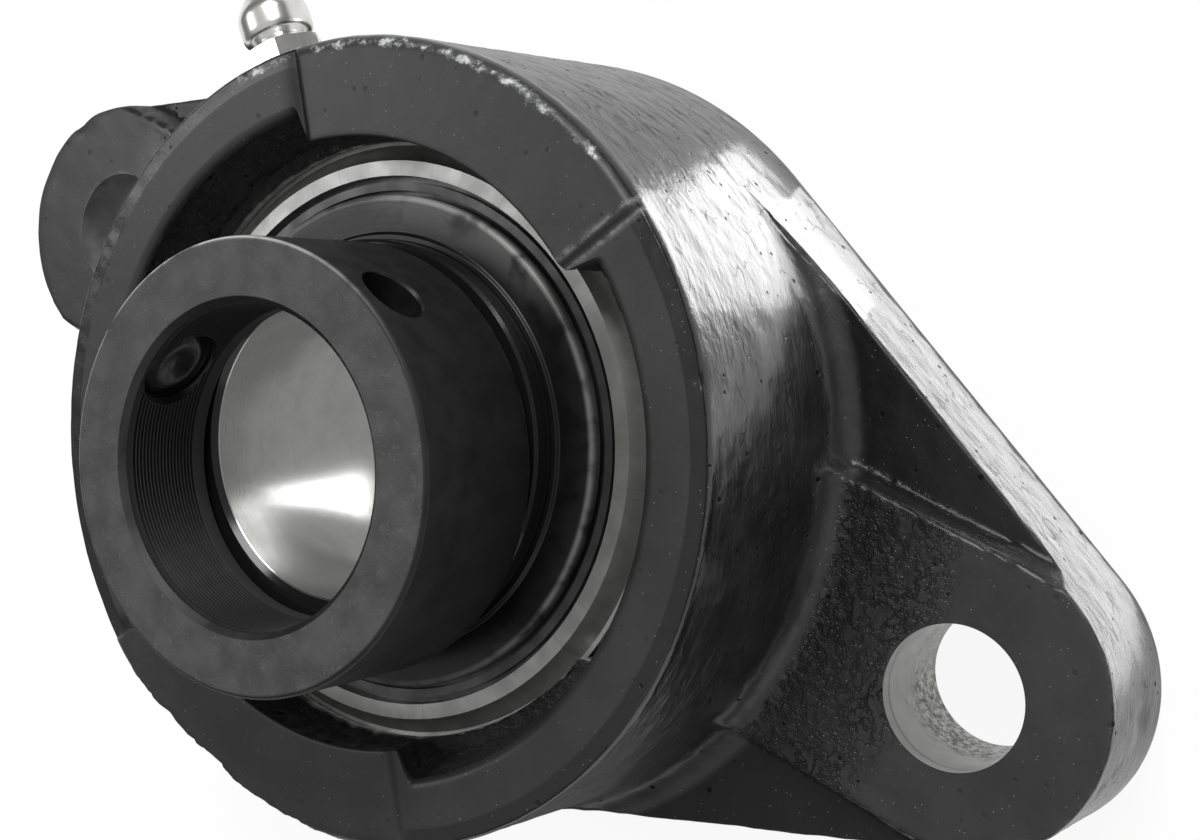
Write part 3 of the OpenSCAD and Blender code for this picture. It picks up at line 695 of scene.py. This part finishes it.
    def cast(self, grid, normal, zone):
        """Presses the cast skin in, and only inwards, so that the casting stays inside its nominal size."""
        broad = noise(grid * (0.16, 0.16, 0.30), 3)
        close = noise(grid * (0.34, 0.34, 0.62), 5)
        skin = 0.28 * broad + 0.5 * (0.35 - np.abs(close) * 1.6) - 0.35
        upright = 1 - np.abs(normal[..., 2])
        depth = zone["outer"] * (0.55 + 0.45 * upright) + zone["rim"] * 0.45 + zone["front"] * 0.16 \
            + zone["pocket"] * 0.6
        lumps = noise(grid * 0.9, 9) + 0.5 * noise(grid * 2.0, 10) - 0.25
        rough = zone["pocket"] * np.minimum(lumps, 0) * 0.5
        return grid + normal * (skin * depth * self.size.skin + rough)[..., None]

    def chipped(self, grid, normal, degrees, radius):
        """Breaks the rim of the lower raised arc and takes out small chips. Also gives the depth of the break."""
        limit = np.interp(degrees, [-127, -123.4, -115, -101.8, -89.3, -78.6, -68.8, -60, -57],
                          [40.4, 40.2, 38.7, 37.7, 38.3, 38.9, 39.5, 39.9, 40.4])
        arc = soft((degrees + 126) / 3) * soft((-57 - degrees) / 3)
        flat_at = np.stack([grid[..., 0], grid[..., 1], 0 * degrees], -1)
        limit = limit + arc * (1.0 * noise(flat_at * 0.30, 11) + 0.35 * noise(flat_at * 0.9, 12))
        limit = limit + np.maximum(34.6 - grid[..., 2], 0) * 1.4 + (1 - arc) * 9
        over = np.maximum(radius - limit, 0)
        shrink = (radius - over) / radius
        grid[..., 0] *= shrink
        grid[..., 1] *= shrink
        grid[..., 2] -= 0.55 * soft(over) * (grid[..., 2] > 34)
        for x, y, z0, wide, deep in ((32.6, 21.8, 35.2, 0.9, 0.5), (74.1, 4.6, 5.0, 1.6, 0.6),
                                     (-70.0, 9.5, 13.0, 1.2, 0.35), (24.0, -33.0, 20.0, 1.5, 0.3)):
            away = np.linalg.norm(grid - (x, y, z0), axis=-1)
            grid = grid - normal * (deep * hump(away, wide))[..., None]
        return grid, over

    def masks(self, r, z, zone, normal, degrees, radius, over):
        """Where the paint is smooth, rough, chipped or missing, and where painted shade and painted highlights
        lie.
        """
        upright, off = 1 - np.abs(normal[..., 2]), self.beside(radius)
        to_step = radius * np.sin(self.fold - STEP_TURN)
        step_line = (hump(to_step - 0.95, 0.22) + hump(to_step + 0.15, 0.22)) * (degrees > 40) * (degrees < 80)
        on_face = zone["front"] | zone["rim"]
        # Painted highlights: pale patches along the top of the rim, and a bright line along the flange's edge
        rim_highlight_arc = hump(radius - 38.9, 0.8) * soft((degrees - 60) / 8) * soft((142 - degrees) / 10) \
            * (1 - hump(degrees - 122, 2.2))
        edge_line = hump(np.concatenate([np.full((1, 16), 9.0), np.abs(np.arange(74) - 17.0)[None],
                                         np.full((1, r.shape[1] - 90), 9.0)], 1), 1.4) * (self.fold < self.lean)
        flange = soft(radius - 42.2)
        return {
            "front": zone["front"] * 1.0 + zone["rim"] * soft((z - 35.2) / 0.5)
            + zone["outer"] * (upright < 0.2) * 0.9 * soft((radius - 55) / 7) * soft(0.2 - off),
            "side": zone["outer"] * soft(upright * 2 - 0.6),
            "pocket": zone["pocket"] * 1.0,
            # Painted shade on the rounded rim and in a band beside the left step lines
            "rim": zone["rim"] * (1 - soft((z - 35.4) / 0.4)) + zone["front"] * hump(to_step + 0.6, 1.3)
            * (np.abs(degrees) > 90),
            "bare": (zone["back"] | zone["bare"]) * 1.0,
            "crackle": zone["outer"] * (normal[..., 2] > 0.6) * flange * soft((57 - radius) / 6)
            * (np.abs(r * self.sin) < 15.5),
            # Chipped paint where the rim is broken, and painted highlights on the top rim and the flange's edge
            "wear_and_highlight": np.clip(on_face * rim_highlight_arc + 0.40 * edge_line + 0.6 * soft(over / 0.3), 0, 1),
            "gleam": np.clip(on_face * 0.9 * step_line + 0.2 * edge_line, 0, 1),
            "shade": zone["outer"] * (upright < 0.7) * soft((radius - 43.0) / 0.9) * np.clip(
                0.7 * soft((58 - radius) / 13) + 0.9 * soft(off) * soft((75 - radius) / 12)
                + 1.3 * hump(off - 0.1, 0.75), 0, 1)
            + on_face * 1.4 * hump(to_step + 0.7, 1.3) * (degrees > 90),
        }

    def skin(self):
        """The finished grid and its masks."""
        back_end = outline(self.turn, 0.0, self.size)
        back_r = 29.1 + (back_end - 0.4 - 29.1) * np.linspace(0, 1, 15)[None]
        foot_r = back_end - 0.1
        parts = [("back", back_r, 0 * back_r), ("back", foot_r, 0.1 + 0 * foot_r),
                 ("outer", *self.outer_path()), *self.inner_path()]
        r = np.concatenate([part[1] for part in parts], 1)
        z = np.concatenate([part[2] for part in parts], 1)
        names = np.concatenate([np.full(part[1].shape[1], part[0], dtype="<U6") for part in parts])[None]
        zone = {name: names == name for name in ("back", "outer", "rim", "front", "pocket", "bare")}
        grid = np.stack([r * self.cos, r * self.sin, z], -1)
        normal = outward(grid)
        grid = self.cast(grid, normal, zone)
        degrees = np.degrees(np.arctan2(grid[..., 1], grid[..., 0]))
        radius = np.hypot(grid[..., 0], grid[..., 1])
        grid, over = self.chipped(grid, normal, degrees, radius)
        return grid, self.masks(r, z, zone, normal, degrees, radius, over)


def threaded(low, high, radius, depth, pitch, count=96, steps=6):
    """A thread drawn as rings: the radius falls by depth along a triangle wave of the height."""
    z = np.linspace(low, high, int(round((high - low) / pitch * steps)) + 1)[None]
    turn = np.linspace(0, 2 * np.pi, count, endpoint=False)[:, None]
    wave = np.abs((z / pitch % 1) * 2 - 1)
    return np.stack([radius - depth * wave + 0 * turn, z + 0 * turn], -1)


def hexagon(across, count):
    """Radius of a hexagon's side in each direction: half its width over the cosine of the turn from the
    middle of the nearest side."""
    turn = np.linspace(0, 2 * np.pi, count, endpoint=False)
    return (across / 2 / np.cos((turn + np.pi / 6) % (np.pi / 3) - np.pi / 6))[:, None]


# Properties

def length(name, description, default):
    return bpy.props.FloatProperty(name=name, description=description, default=default, min=0.0,
                                   unit="LENGTH", subtype="DISTANCE", precision=5)


def colour(name, description, default):
    return bpy.props.FloatVectorProperty(name=name, description=description, default=default, size=3,
                                         min=0.0, max=1.0, subtype="COLOR")


class BearingSizes(bpy.types.PropertyGroup):
    """Sizes that the detailed pieces take, beside those of the frame's own solids"""
    bolt_reach: length("Bolt reach", "Distance from the shaft's axis to a bolt hole", 0.0585)
    bolt_hole: length("Bolt hole", "Diameter of a bolt hole", 0.014)
    boss: length("Boss radius", "Radius of the boss at the mounting face", 0.041)
    ear: length("Ear radius", "Radius of an ear at the mounting face", round(HOUSING_BOX[1][0], 4) - 0.0585)
    web: length("Web", "Thickness of the flange beside the pads", 0.0112)
    pad: length("Pad", "Thickness of the flange at the pads", 0.0138)
    root: length("Root fillet", "Radius of the fillet at the foot of the boss", 0.003)
    front: length("Front face", "Height of the low arcs of the front face", 0.0355)
    rise: length("Raised arcs", "Rise of the two raised arcs of the front face", 0.0008)
    rim: length("Rim", "Radius of the rounded rim", 0.0018)
    throat: length("Throat", "Radius of the throat in front of the insert", 0.029892)
    skin: length("Cast skin", "Depth of the unevenness of the cast skin", 0.00034)
    groove: length("Bore groove", "Pitch of the turned grooves in the collar's bore", 0.00045)
    thread: length("Thread pitch", "Pitch of the set screw's thread", 0.00125)


class BearingLooks(bpy.types.PropertyGroup):
    """Colours of the finishes"""
    paint: colour("Paint", "Black satin paint on the casting", (0.024, 0.0245, 0.026))
    steel: colour("Steel", "Ground bearing steel", (0.62, 0.62, 0.61))
    oxide: colour("Black oxide", "Black oxide on the collar and flingers", (0.02, 0.02, 0.021))
    zinc: colour("Zinc", "Bright zinc plate on the grease nipple", (0.95, 0.95, 0.93))


class Plain:
    """The sizes in millimetres, for the shape functions."""
    def __init__(self, sizes):
        for name in BearingSizes.__annotations__:
            setattr(self, name, getattr(sizes, name) * 1000)
        self.bolt = self.bolt_reach


def settings(context):
    return Plain(context.scene.bearing_sizes), context.scene.bearing_looks


# Operators

class BEARING_OT_stage(bpy.types.Operator):
    """Set up the pale floor, the soft studio light and the camera"""
    bl_idname = "bearing.stage"
    bl_label = "Stage"

    def execute(self, context):
        mesh = bpy.data.meshes.new("floor")
        half = 4.0
        corners = [(-half, -half, 0), (half, -half, 0), (half, half, 0), (-half, half, 0)]
        mesh.from_pydata(corners, [], [(0, 1, 2, 3)])
        floor = bpy.data.objects.new("floor", mesh)
        context.collection.objects.link(floor)
        made, tree, shader = finish("pale_floor", (0.82, 0.82, 0.82), 0.9, 0.0)
        shader.inputs["Specular IOR Level"].default_value = 0.0
        seen = add(tree, "ShaderNodeLightPath")
        direct = highest(seen["Is Camera Ray"], seen["Is Glossy Ray"], seen["Is Transmission Ray"])
        # Reflections see the floor dim under the open bore and on the shaded side of the boss
        spot = add(tree, "ShaderNodeTexCoord")["Object"]
        away = add(tree, "ShaderNodeVectorMath", {0: spot}, operation="LENGTH")["Value"]
        ends = {0: spot, 1: (0.018, -0.048, 0.0)}
        aside = add(tree, "ShaderNodeVectorMath", ends, operation="DISTANCE")["Value"]
        level = calc("MINIMUM", ramp(away, 0.018, 0.034, 0.36, 0.70), ramp(aside, 0.024, 0.055, 0.08, 0.70))
        level = highest(level, seen["Is Camera Ray"] * 0.90)
        glow = add(tree, "ShaderNodeEmission", {"Color": grey(1.0), "Strength": level})[0]
        shade = add(tree, "ShaderNodeBsdfDiffuse", {"Color": grey(0.14)})[0]
        both = add(tree, "ShaderNodeAddShader", {0: glow, 1: shade})[0]
        blend = add(tree, "ShaderNodeMixShader", {0: direct, 1: Flow(shader.outputs[0]), 2: both})[0]
        feed(tree.nodes["Material Output"], Surface=blend)
        mesh.materials.append(made)

        world = bpy.data.worlds.new("studio")
        world.use_nodes = True
        tree = world.node_tree
        way = add(tree, "ShaderNodeTexCoord")["Generated"]
        height = add(tree, "ShaderNodeSeparateXYZ", {0: way})[2]
        level = ramp(height, 0.45, 0.85, 0.16, 0.50)
        backdrop = add(tree, "ShaderNodeLightPath")["Is Camera Ray"]
        level = highest(level, backdrop)
        feed(tree.nodes["Background"], Strength=level)
        tree.nodes["Background"].inputs["Color"].default_value = grey(1.0)
        context.scene.world = world

        # name, position, aimed at, direction of its width if it faces up, width, depth, radiance
        for name, at, aim, facing, wide, deep, level in (
                ("key", (-0.10, 0.75, 0.65), (0, 0, 0.02), 0, 0.5, 0.4, 8.5),
                ("fill", (0.70, -0.55, 0.60), (0, 0, 0.02), 0, 0.5, 0.5, 0.6),
                ("left", (-0.42, -0.03, 0.43), (-0.02, 0, 0.02), 0, 0.18, 0.18, 3.4),
                ("sweep", (0.0313, 0.056, 0.001), (0.0313, 0.056, 0.5), 154.4, 0.024, 0.042, 4.9),
                ("edge strip", (0.0578, 0.0211, 0.0005), (0.0578, 0.0211, 0.5), 154.4, 0.084, 0.006, 2.5),
                ("bore glow", (-0.0016, 0.0075, 0.0006), (-0.0016, 0.0075, 0.5), 238.7, 0.0148, 0.0046, 3.4)):
            lamp = bpy.data.lights.new(name, "AREA")
            lamp.shape, lamp.size, lamp.size_y = "RECTANGLE", wide, deep
            lamp.energy = level * math.pi * wide * deep
            thing = bpy.data.objects.new(name, lamp)
            context.collection.objects.link(thing)
            away = np.array(at) - np.array(aim)
            away = away / np.linalg.norm(away)
            facing = math.radians(facing)
            side = np.cross((0.0, 0.0, 1.0), away)
            if facing:
                side = np.array([math.cos(facing), math.sin(facing), 0.0])
            side = side / np.linalg.norm(side)
            up = np.cross(away, side)
            thing.matrix_world = Matrix([[side[i], up[i], away[i], at[i]] for i in range(3)] + [[0, 0, 0, 1]])
            thing.visible_camera = False

        # The camera: a turn about one axis, by the length of that vector, then a shift to the lens
        spin = np.array([-2.8108389, -0.5986439, 0.7915909])
        shift = np.array([-5.4993, 0.8065, 213.3404]) * 0.001
        angle = np.linalg.norm(spin)
        k = spin / angle
        cross = np.array([[0, -k[2], k[1]], [k[2], 0, -k[0]], [-k[1], k[0], 0]])
        turn = np.eye(3) + math.sin(angle) * cross + (1 - math.cos(angle)) * cross @ cross
        lens = bpy.data.cameras.new("camera")
        lens.sensor_width, lens.lens, lens.clip_start = 36.0, 1872.8314 / 1200 * 36.0, 0.01
        camera = bpy.data.objects.new("camera", lens)
        context.collection.objects.link(camera)
        axes = turn.T @ np.diag([1.0, -1.0, -1.0])
        place = -turn.T @ shift
        camera.matrix_world = Matrix([[*axes[i], place[i]] for i in range(3)] + [[0, 0, 0, 1]])
        context.scene.camera = camera
        context.scene.view_settings.view_transform = "Standard"
        return {"FINISHED"}


class BEARING_OT_housing(bpy.types.Operator):
    """Make the cast housing with its drilled bolt holes and the nipple's machined seat"""
    bl_idname = "bearing.housing"
    bl_label = "Housing"

    def execute(self, context):
        size, looks = settings(context)
        finishes = [paint_finish(looks), bored_finish(looks),
                    oxide_finish(looks, "painted_bore", 0.4, 0.14, 0.26)]
        grid, masks = Casting(size).skin()
        piece = surface("housing_casting", grid, finishes, masks=masks)
        cutters = []
        for side in (-1, 1):
            drill = np.array([[0, -2], [7.4, -2], [7.4, -0.1], [7.0, 0.5], [7.0, 3], [7.0, 6], [7.0, 9],
                              [7.0, 12], [7.0, 18], [0, 18]], float)
            drill[:, 0] *= size.bolt_hole / 14
            hole = turned(drill, 128) + (side * size.bolt, 0, 0)
            # The hole beside the nipple has paint in it
            cutters.append(surface("drill", hole, finishes, closed=False, slot_of=2 if side < 0 else 1))
        seat = np.array([[0, -10.4], [1, -10.4], [1, -5.6], [3, -5.6], [3, -0.2], [3.2, 0], [5, 0], [5, 6],
                         [0, 6]], float)
        grid = radial(turned(seat, 96), *NIPPLE_PLACE)
        cutters.append(surface("spotface", grid, finishes, closed=False, slot_of=1))
        cut(piece, cutters)
        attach(piece, "housing")
        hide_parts("housing")
        return {"FINISHED"}


class BEARING_OT_collar(bpy.types.Operator):
    """Make the eccentric locking collar with its grooved bore, threaded hole and drift hole"""
    bl_idname = "bearing.collar"
    bl_label = "Locking collar"

    def execute(self, context):
        size, looks = settings(context)
        low, high = COLLAR_BOX[0][2] * 1000, COLLAR_BOX[1][2] * 1000
        radius = (COLLAR_BOX[1][0] - COLLAR_BOX[0][0]) * 500
        bore, shoulder, cup = 15.15, 39.5, 18.84
        before = rounded([[cup, shoulder, 0.15], [cup, low, 0.3], [radius, low, 0.45], [radius, high, 0.45],
                          [bore + 0.6, high, 0.12], [bore, high - 0.6, 0.1], [bore, shoulder, 0.1]])
        # The grooves take the place of the straight run in the bore
        pace = np.arange(0, 18 * 6 + 1) / 6
        groove = np.stack([bore + 0.11 * (1 - np.cos(2 * np.pi * pace)), high - 1.4 - size.groove * pace], -1)
        end = int(np.argmax((before[:, 0] < bore + 0.05) & (before[:, 1] < shoulder + 1.0)))
        path = np.concatenate([before[:end], groove, before[end:]])
        turn = np.linspace(0, 2 * np.pi, 360, endpoint=False)[:, None]
        # The counterbore's axis lies off the collar's: its radius in each direction is that of a shifted circle
        wander = COLLAR_OFF * np.sin(turn) + np.sqrt(cup ** 2 - (COLLAR_OFF * np.cos(turn)) ** 2) - cup
        inside = np.clip((path[:, 0] - bore - 0.2) / (cup - bore - 0.4), 0, 1) * (path[:, 0] < cup + 1) \
            * (path[:, 1] < shoulder + 0.4)
        path = np.stack([path[None, :, 0] + wander * inside[None], path[None, :, 1] + 0 * turn], -1)
        grid = turned(path, 360)
        grid[..., 1] += COLLAR_Y
        r, z = path[..., 0], path[..., 1]

        # Painted highlights on the collar's edges: bright bands on its front and rear outer rims and on its
        # bore's chamfer, each only round the side where the light falls
        def lit_edge(offset, ahead, across, along, width):
            return soft(offset + ahead) * hump(np.hypot(across, along), width)
        upper = lit_edge(0.05, np.cos(turn - math.radians(150)), r - radius + 0.13, z - high + 0.13, 0.16)
        lower = lit_edge(0.3, np.cos(turn - math.radians(75)), r - radius + 0.13, z - low - 0.13, 0.14)
        inner = lit_edge(0.2, -np.cos(turn - math.radians(40)), r - bore - 0.3, z - high + 0.3, 0.2)
        masks = {"face": soft((z - high + 0.05) / 0.05) * soft((r - bore - 0.5) / 0.2)
                 * soft((radius - 0.3 - r) / 0.2),
                 "wear_and_highlight": 0.95 * upper + 0.8 * lower + 0.35 * inner,
                 "bore": (r < bore + 0.4) * (z < high - 1.2) * 1.0}
        black = oxide_finish(looks, "collar_black", 0.5, 0.010, 0.019, axis_y=COLLAR_Y, collar=True, edges=True)
        thread = oxide_finish(looks, "thread_black", 0.36, 0.008, 0.018)
        piece = surface("locking_collar_turned", grid, [black, thread], masks=masks)
        hole = turned(threaded(0, 11, 4.25, 0.28, size.thread), 96)
        ends = np.zeros_like(hole[:, :1])
        hole = np.concatenate([ends + (0, 0, 0), hole, ends + (0, 0, 11)], 1)
        hole = radial(hole, SCREW_TURN, 13, HOLE_HEIGHT, COLLAR_Y)
        cutters = [surface("tap", hole, [black, thread], closed=False, slot_of=1)]
        drift = rounded([[0, -3.8, 0], [3.1, -3.75, 0.5], [3.1, -0.35, 0.05], [3.45, 0.3, 0.05],
                         [3.45, 3, 0.05], [0, 3, 0]], closed=False, steps=3)
        grid = radial(turned(drift, 128), DRIFT_TURN, radius, HOLE_HEIGHT, COLLAR_Y)
        cutters.append(surface("drift", grid, [black, thread], closed=False, slot_of=1))
        cut(piece, cutters, 34)
        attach(piece, "locking_collar")
        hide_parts("locking_collar")
        return {"FINISHED"}


class BEARING_OT_set_screw(bpy.types.Operator):
    """Make the set screw with its thread, cupped tip and hexagon socket"""
    bl_idname = "bearing.set_screw"
    bl_label = "Set screw"

    def execute(self, context):
        size, looks = settings(context)
        count = 96
        thread = threaded(0.9, 4.7, 3.92, 0.26, size.thread, count)
        key = hexagon(3.0, count)

        def ring(radius, z):
            return np.stack([radius + np.zeros((count, 1)), z + np.zeros((count, 1))], -1)
        path = np.concatenate([ring(0, 0.9), ring(1.0, 0.55), ring(1.9, 0.04), ring(2.3, 0.0), ring(2.7, 0.05),
                               ring(3.4, 0.75), thread, ring(3.62, 4.95), ring(3.3, 5.2), ring(key + 0.35, 5.2),
                               ring(key + 0.1, 5.14), ring(key, 5.0), ring(key, 2.3), ring(key - 0.12, 2.2),
                               ring(0.9, 2.1), ring(0, 1.9)], 1)
        black = oxide_finish(looks, "screw_black", 0.26, 0.02, 0.05)
        grid = radial(turned(path, count), SCREW_TURN, 15.5, HOLE_HEIGHT, COLLAR_Y)
        piece = surface("set_screw_threaded", grid, [black], closed=False)
        piece.data.set_sharp_from_angle(angle=math.radians(38))
        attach(piece, "set_screw")
        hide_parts("set_screw")
        return {"FINISHED"}


class BEARING_OT_flingers(bpy.types.Operator):
    """Make the two flingers with their rounded rims and hubs"""
    bl_idname = "bearing.flingers"
    bl_label = "Flingers"

    def execute(self, context):
        looks = context.scene.bearing_looks
        low, high = FLINGER_BOX[0][2] * 1000, FLINGER_BOX[1][2] * 1000
        rim = FLINGER_BOX[1][0] * 1000
        path = rounded([[20.16, low, 0.05], [rim, low, 0.15], [rim, high - 0.3, 0.8], [20.95, high - 0.3, 0.2],
                        [20.66, high, 0.14], [20.16, high, 0.05]])
        black = oxide_finish(looks, "flinger_black", 0.30, 0.004, 0.007, 0.04, edges=True)
        degrees = np.linspace(0, 360, 256, endpoint=False)[:, None]
        arc = soft((degrees - 50) / 24) * soft((124 - degrees) / 20)
        shoulder = hump(path[:, 0] - rim + 0.3, 0.34)[None] * (path[:, 1] > high - 1.2)[None]
        mirrored = path[::-1] * (1, -1) + (0, 2 * SEAT_HEIGHT)
        for name, turned_path in (("front_flinger", path), ("rear_flinger", mirrored)):
            # Painted highlights: a thin bright line round the rim, and on the front flinger a brighter arc on the
            # upper shoulder of its rim
            wear_and_highlight = 0.25 * hump(turned_path[:, 0] - rim + 0.25, 0.3)[None] + 0 * degrees
            if name == "front_flinger":
                wear_and_highlight = np.maximum(wear_and_highlight, arc * shoulder)
            piece = surface(name + "_pressed", turned(turned_path, 256), [black], masks={"wear_and_highlight": wear_and_highlight})
            piece.data.set_sharp_from_angle(angle=math.radians(50))
            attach(piece, "inner_ring")
            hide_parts(name)
        return {"FINISHED"}


class BEARING_OT_nipple(bpy.types.Operator):
    """Make the grease nipple with its chamfered hexagon, neck and rounded head"""
    bl_idname = "bearing.nipple"
    bl_label = "Grease nipple"

    def execute(self, context):
        looks = context.scene.bearing_looks
        count = 144
        flats = hexagon(8.0, count)
        body = rounded([[0.65, -5.0, 0.05], [2.6, -5.0, 0.1], [2.97, -4.6, 0.05], [2.97, -0.3, 0.05],
                        [4.9, 0.02, 0.05], [4.9, 4.2, 0.12], [3.6, 4.2, 0.1], [3.0, 4.75, 0.25],
                        [2.75, 5.0, 0.12], [2.75, 5.15, 0.1], [3.8, 5.7, 1.2], [3.8, 8.4, 2.4],
                        [2.5, 10.3, 0.9], [1.9, 10.7, 0.2], [1.8, 11.2, 0.15], [0.65, 11.2, 0.1],
                        [0.65, 10.9, 0.02], [1.0, 10.9, 0.02], [1.0, -4.0, 0.02], [0.65, -4.0, 0.02]])
        # The hexagon with both its ends chamfered: the smallest of its sides, two cones and the turned path
        def cone(height):
            return np.minimum(4.1 + 1.9 * (height + 0.15), 4.1 + 1.9 * (4.3 - height))
        r, z = body[None, :, 0], body[None, :, 1]
        band = (r > 3.9) & (z > -0.2) & (z < 4.25)
        radius = np.where(band, np.minimum(r, np.minimum(flats, cone(z))), r)
        extra = np.linspace(0.15, 4.05, 16)[None, :, None]
        path = np.stack([radius, z + 0 * radius], -1)
        split = int(np.argmax((body[:, 1] > 2) & (body[:, 0] > 4.5)))
        sides = np.minimum(flats[:, :, None], cone(extra))
        sides = np.concatenate([sides, extra + np.zeros((count, 1, 1))], -1)
        path = np.concatenate([path[:, :split], sides, path[:, split:]], 1)
        grid = radial(turned(path, count), *NIPPLE_PLACE)
        piece = surface("grease_nipple_turned", grid, [zinc_finish(looks)])
        piece.data.set_sharp_from_angle(angle=math.radians(32))
        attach(piece, "housing")
        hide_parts("grease_nipple")
        return {"FINISHED"}


class BEARING_OT_insert(bpy.types.Operator):
    """Give the rings, seals, balls, cage and the nipple's small parts their finishes"""
    bl_idname = "bearing.insert"
    bl_label = "Insert finishes"

    def execute(self, context):
        looks = context.scene.bearing_looks
        light, dark = (0.62, 0.62, 0.61, 1.0), (0.46, 0.46, 0.45, 1.0)
        ring = ground_finish(looks, "outer_ring_steel", "Angle", 0.018, light, dark, 0.44)
        bore = ground_finish(looks, "inner_ring_steel", "Height", 0.22, (0.60, 0.60, 0.59, 1.0),
                             (0.54, 0.54, 0.53, 1.0), 0.17, 0.004, black_from=15.03)
        pressed = ground_finish(looks, "seal_steel", "Radius", 0.6, grey(0.16), grey(0.10), 0.45)
        cage = ground_finish(looks, "cage_steel", "Radius", 0.5, grey(0.50), grey(0.38), 0.38)
        ball = ground_finish(looks, "ball_steel", "Height", 0.3, (0.78, 0.78, 0.77, 1.0),
                             (0.72, 0.72, 0.71, 1.0), 0.16, 0.001)
        rubber, zinc = rubber_finish(), zinc_finish(looks)
        finishes = {"outer_ring": ring, "inner_ring": bore, "nipple_check_ball": ball, "nipple_spring": zinc,
                    "front_seal_case": pressed, "rear_seal_case": pressed, "front_seal_lip": rubber,
                    "rear_seal_lip": rubber, "cage_front_half": cage, "cage_rear_half": cage,
                    "cage_rivets": cage}
        finishes.update({"ball_%d" % (i + 1): ball for i in range(9)})
        for name, made in finishes.items():
            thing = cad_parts[name]
            if not thing.material_slots:
                thing.data.materials.append(made)
            for place in thing.material_slots:
                place.material = made
        return {"FINISHED"}


class BEARING_PT_panel(bpy.types.Panel):
    """The pieces of the mounted bearing"""
    bl_idname = "BEARING_PT_panel"
    bl_label = "Mounted bearing"
    bl_space_type = "VIEW_3D"
    bl_region_type = "UI"
    bl_category = "Bearing"

    def draw(self, context):
        for step in STEPS:
            self.layout.operator(step.bl_idname)
        for group in (context.scene.bearing_sizes, context.scene.bearing_looks):
            box = self.layout.box()
            for name in group.__annotations__:
                box.prop(group, name)


STEPS = (BEARING_OT_stage, BEARING_OT_housing, BEARING_OT_collar, BEARING_OT_set_screw, BEARING_OT_flingers,
         BEARING_OT_nipple, BEARING_OT_insert)
CLASSES = (BearingSizes, BearingLooks) + STEPS + (BEARING_PT_panel,)


def register():
    for made in CLASSES:
        bpy.utils.register_class(made)
    bpy.types.Scene.bearing_sizes = bpy.props.PointerProperty(type=BearingSizes)
    bpy.types.Scene.bearing_looks = bpy.props.PointerProperty(type=BearingLooks)


def unregister():
    del bpy.types.Scene.bearing_looks
    del bpy.types.Scene.bearing_sizes
    for made in reversed(CLASSES):
        bpy.utils.unregister_class(made)


def main():
    register()
    bpy.ops.bearing.stage()
    bpy.ops.bearing.housing()
    bpy.ops.bearing.collar()
    bpy.ops.bearing.set_screw()
    bpy.ops.bearing.flingers()
    bpy.ops.bearing.nipple()
    bpy.ops.bearing.insert()


if __name__ == "__main__":
    main()
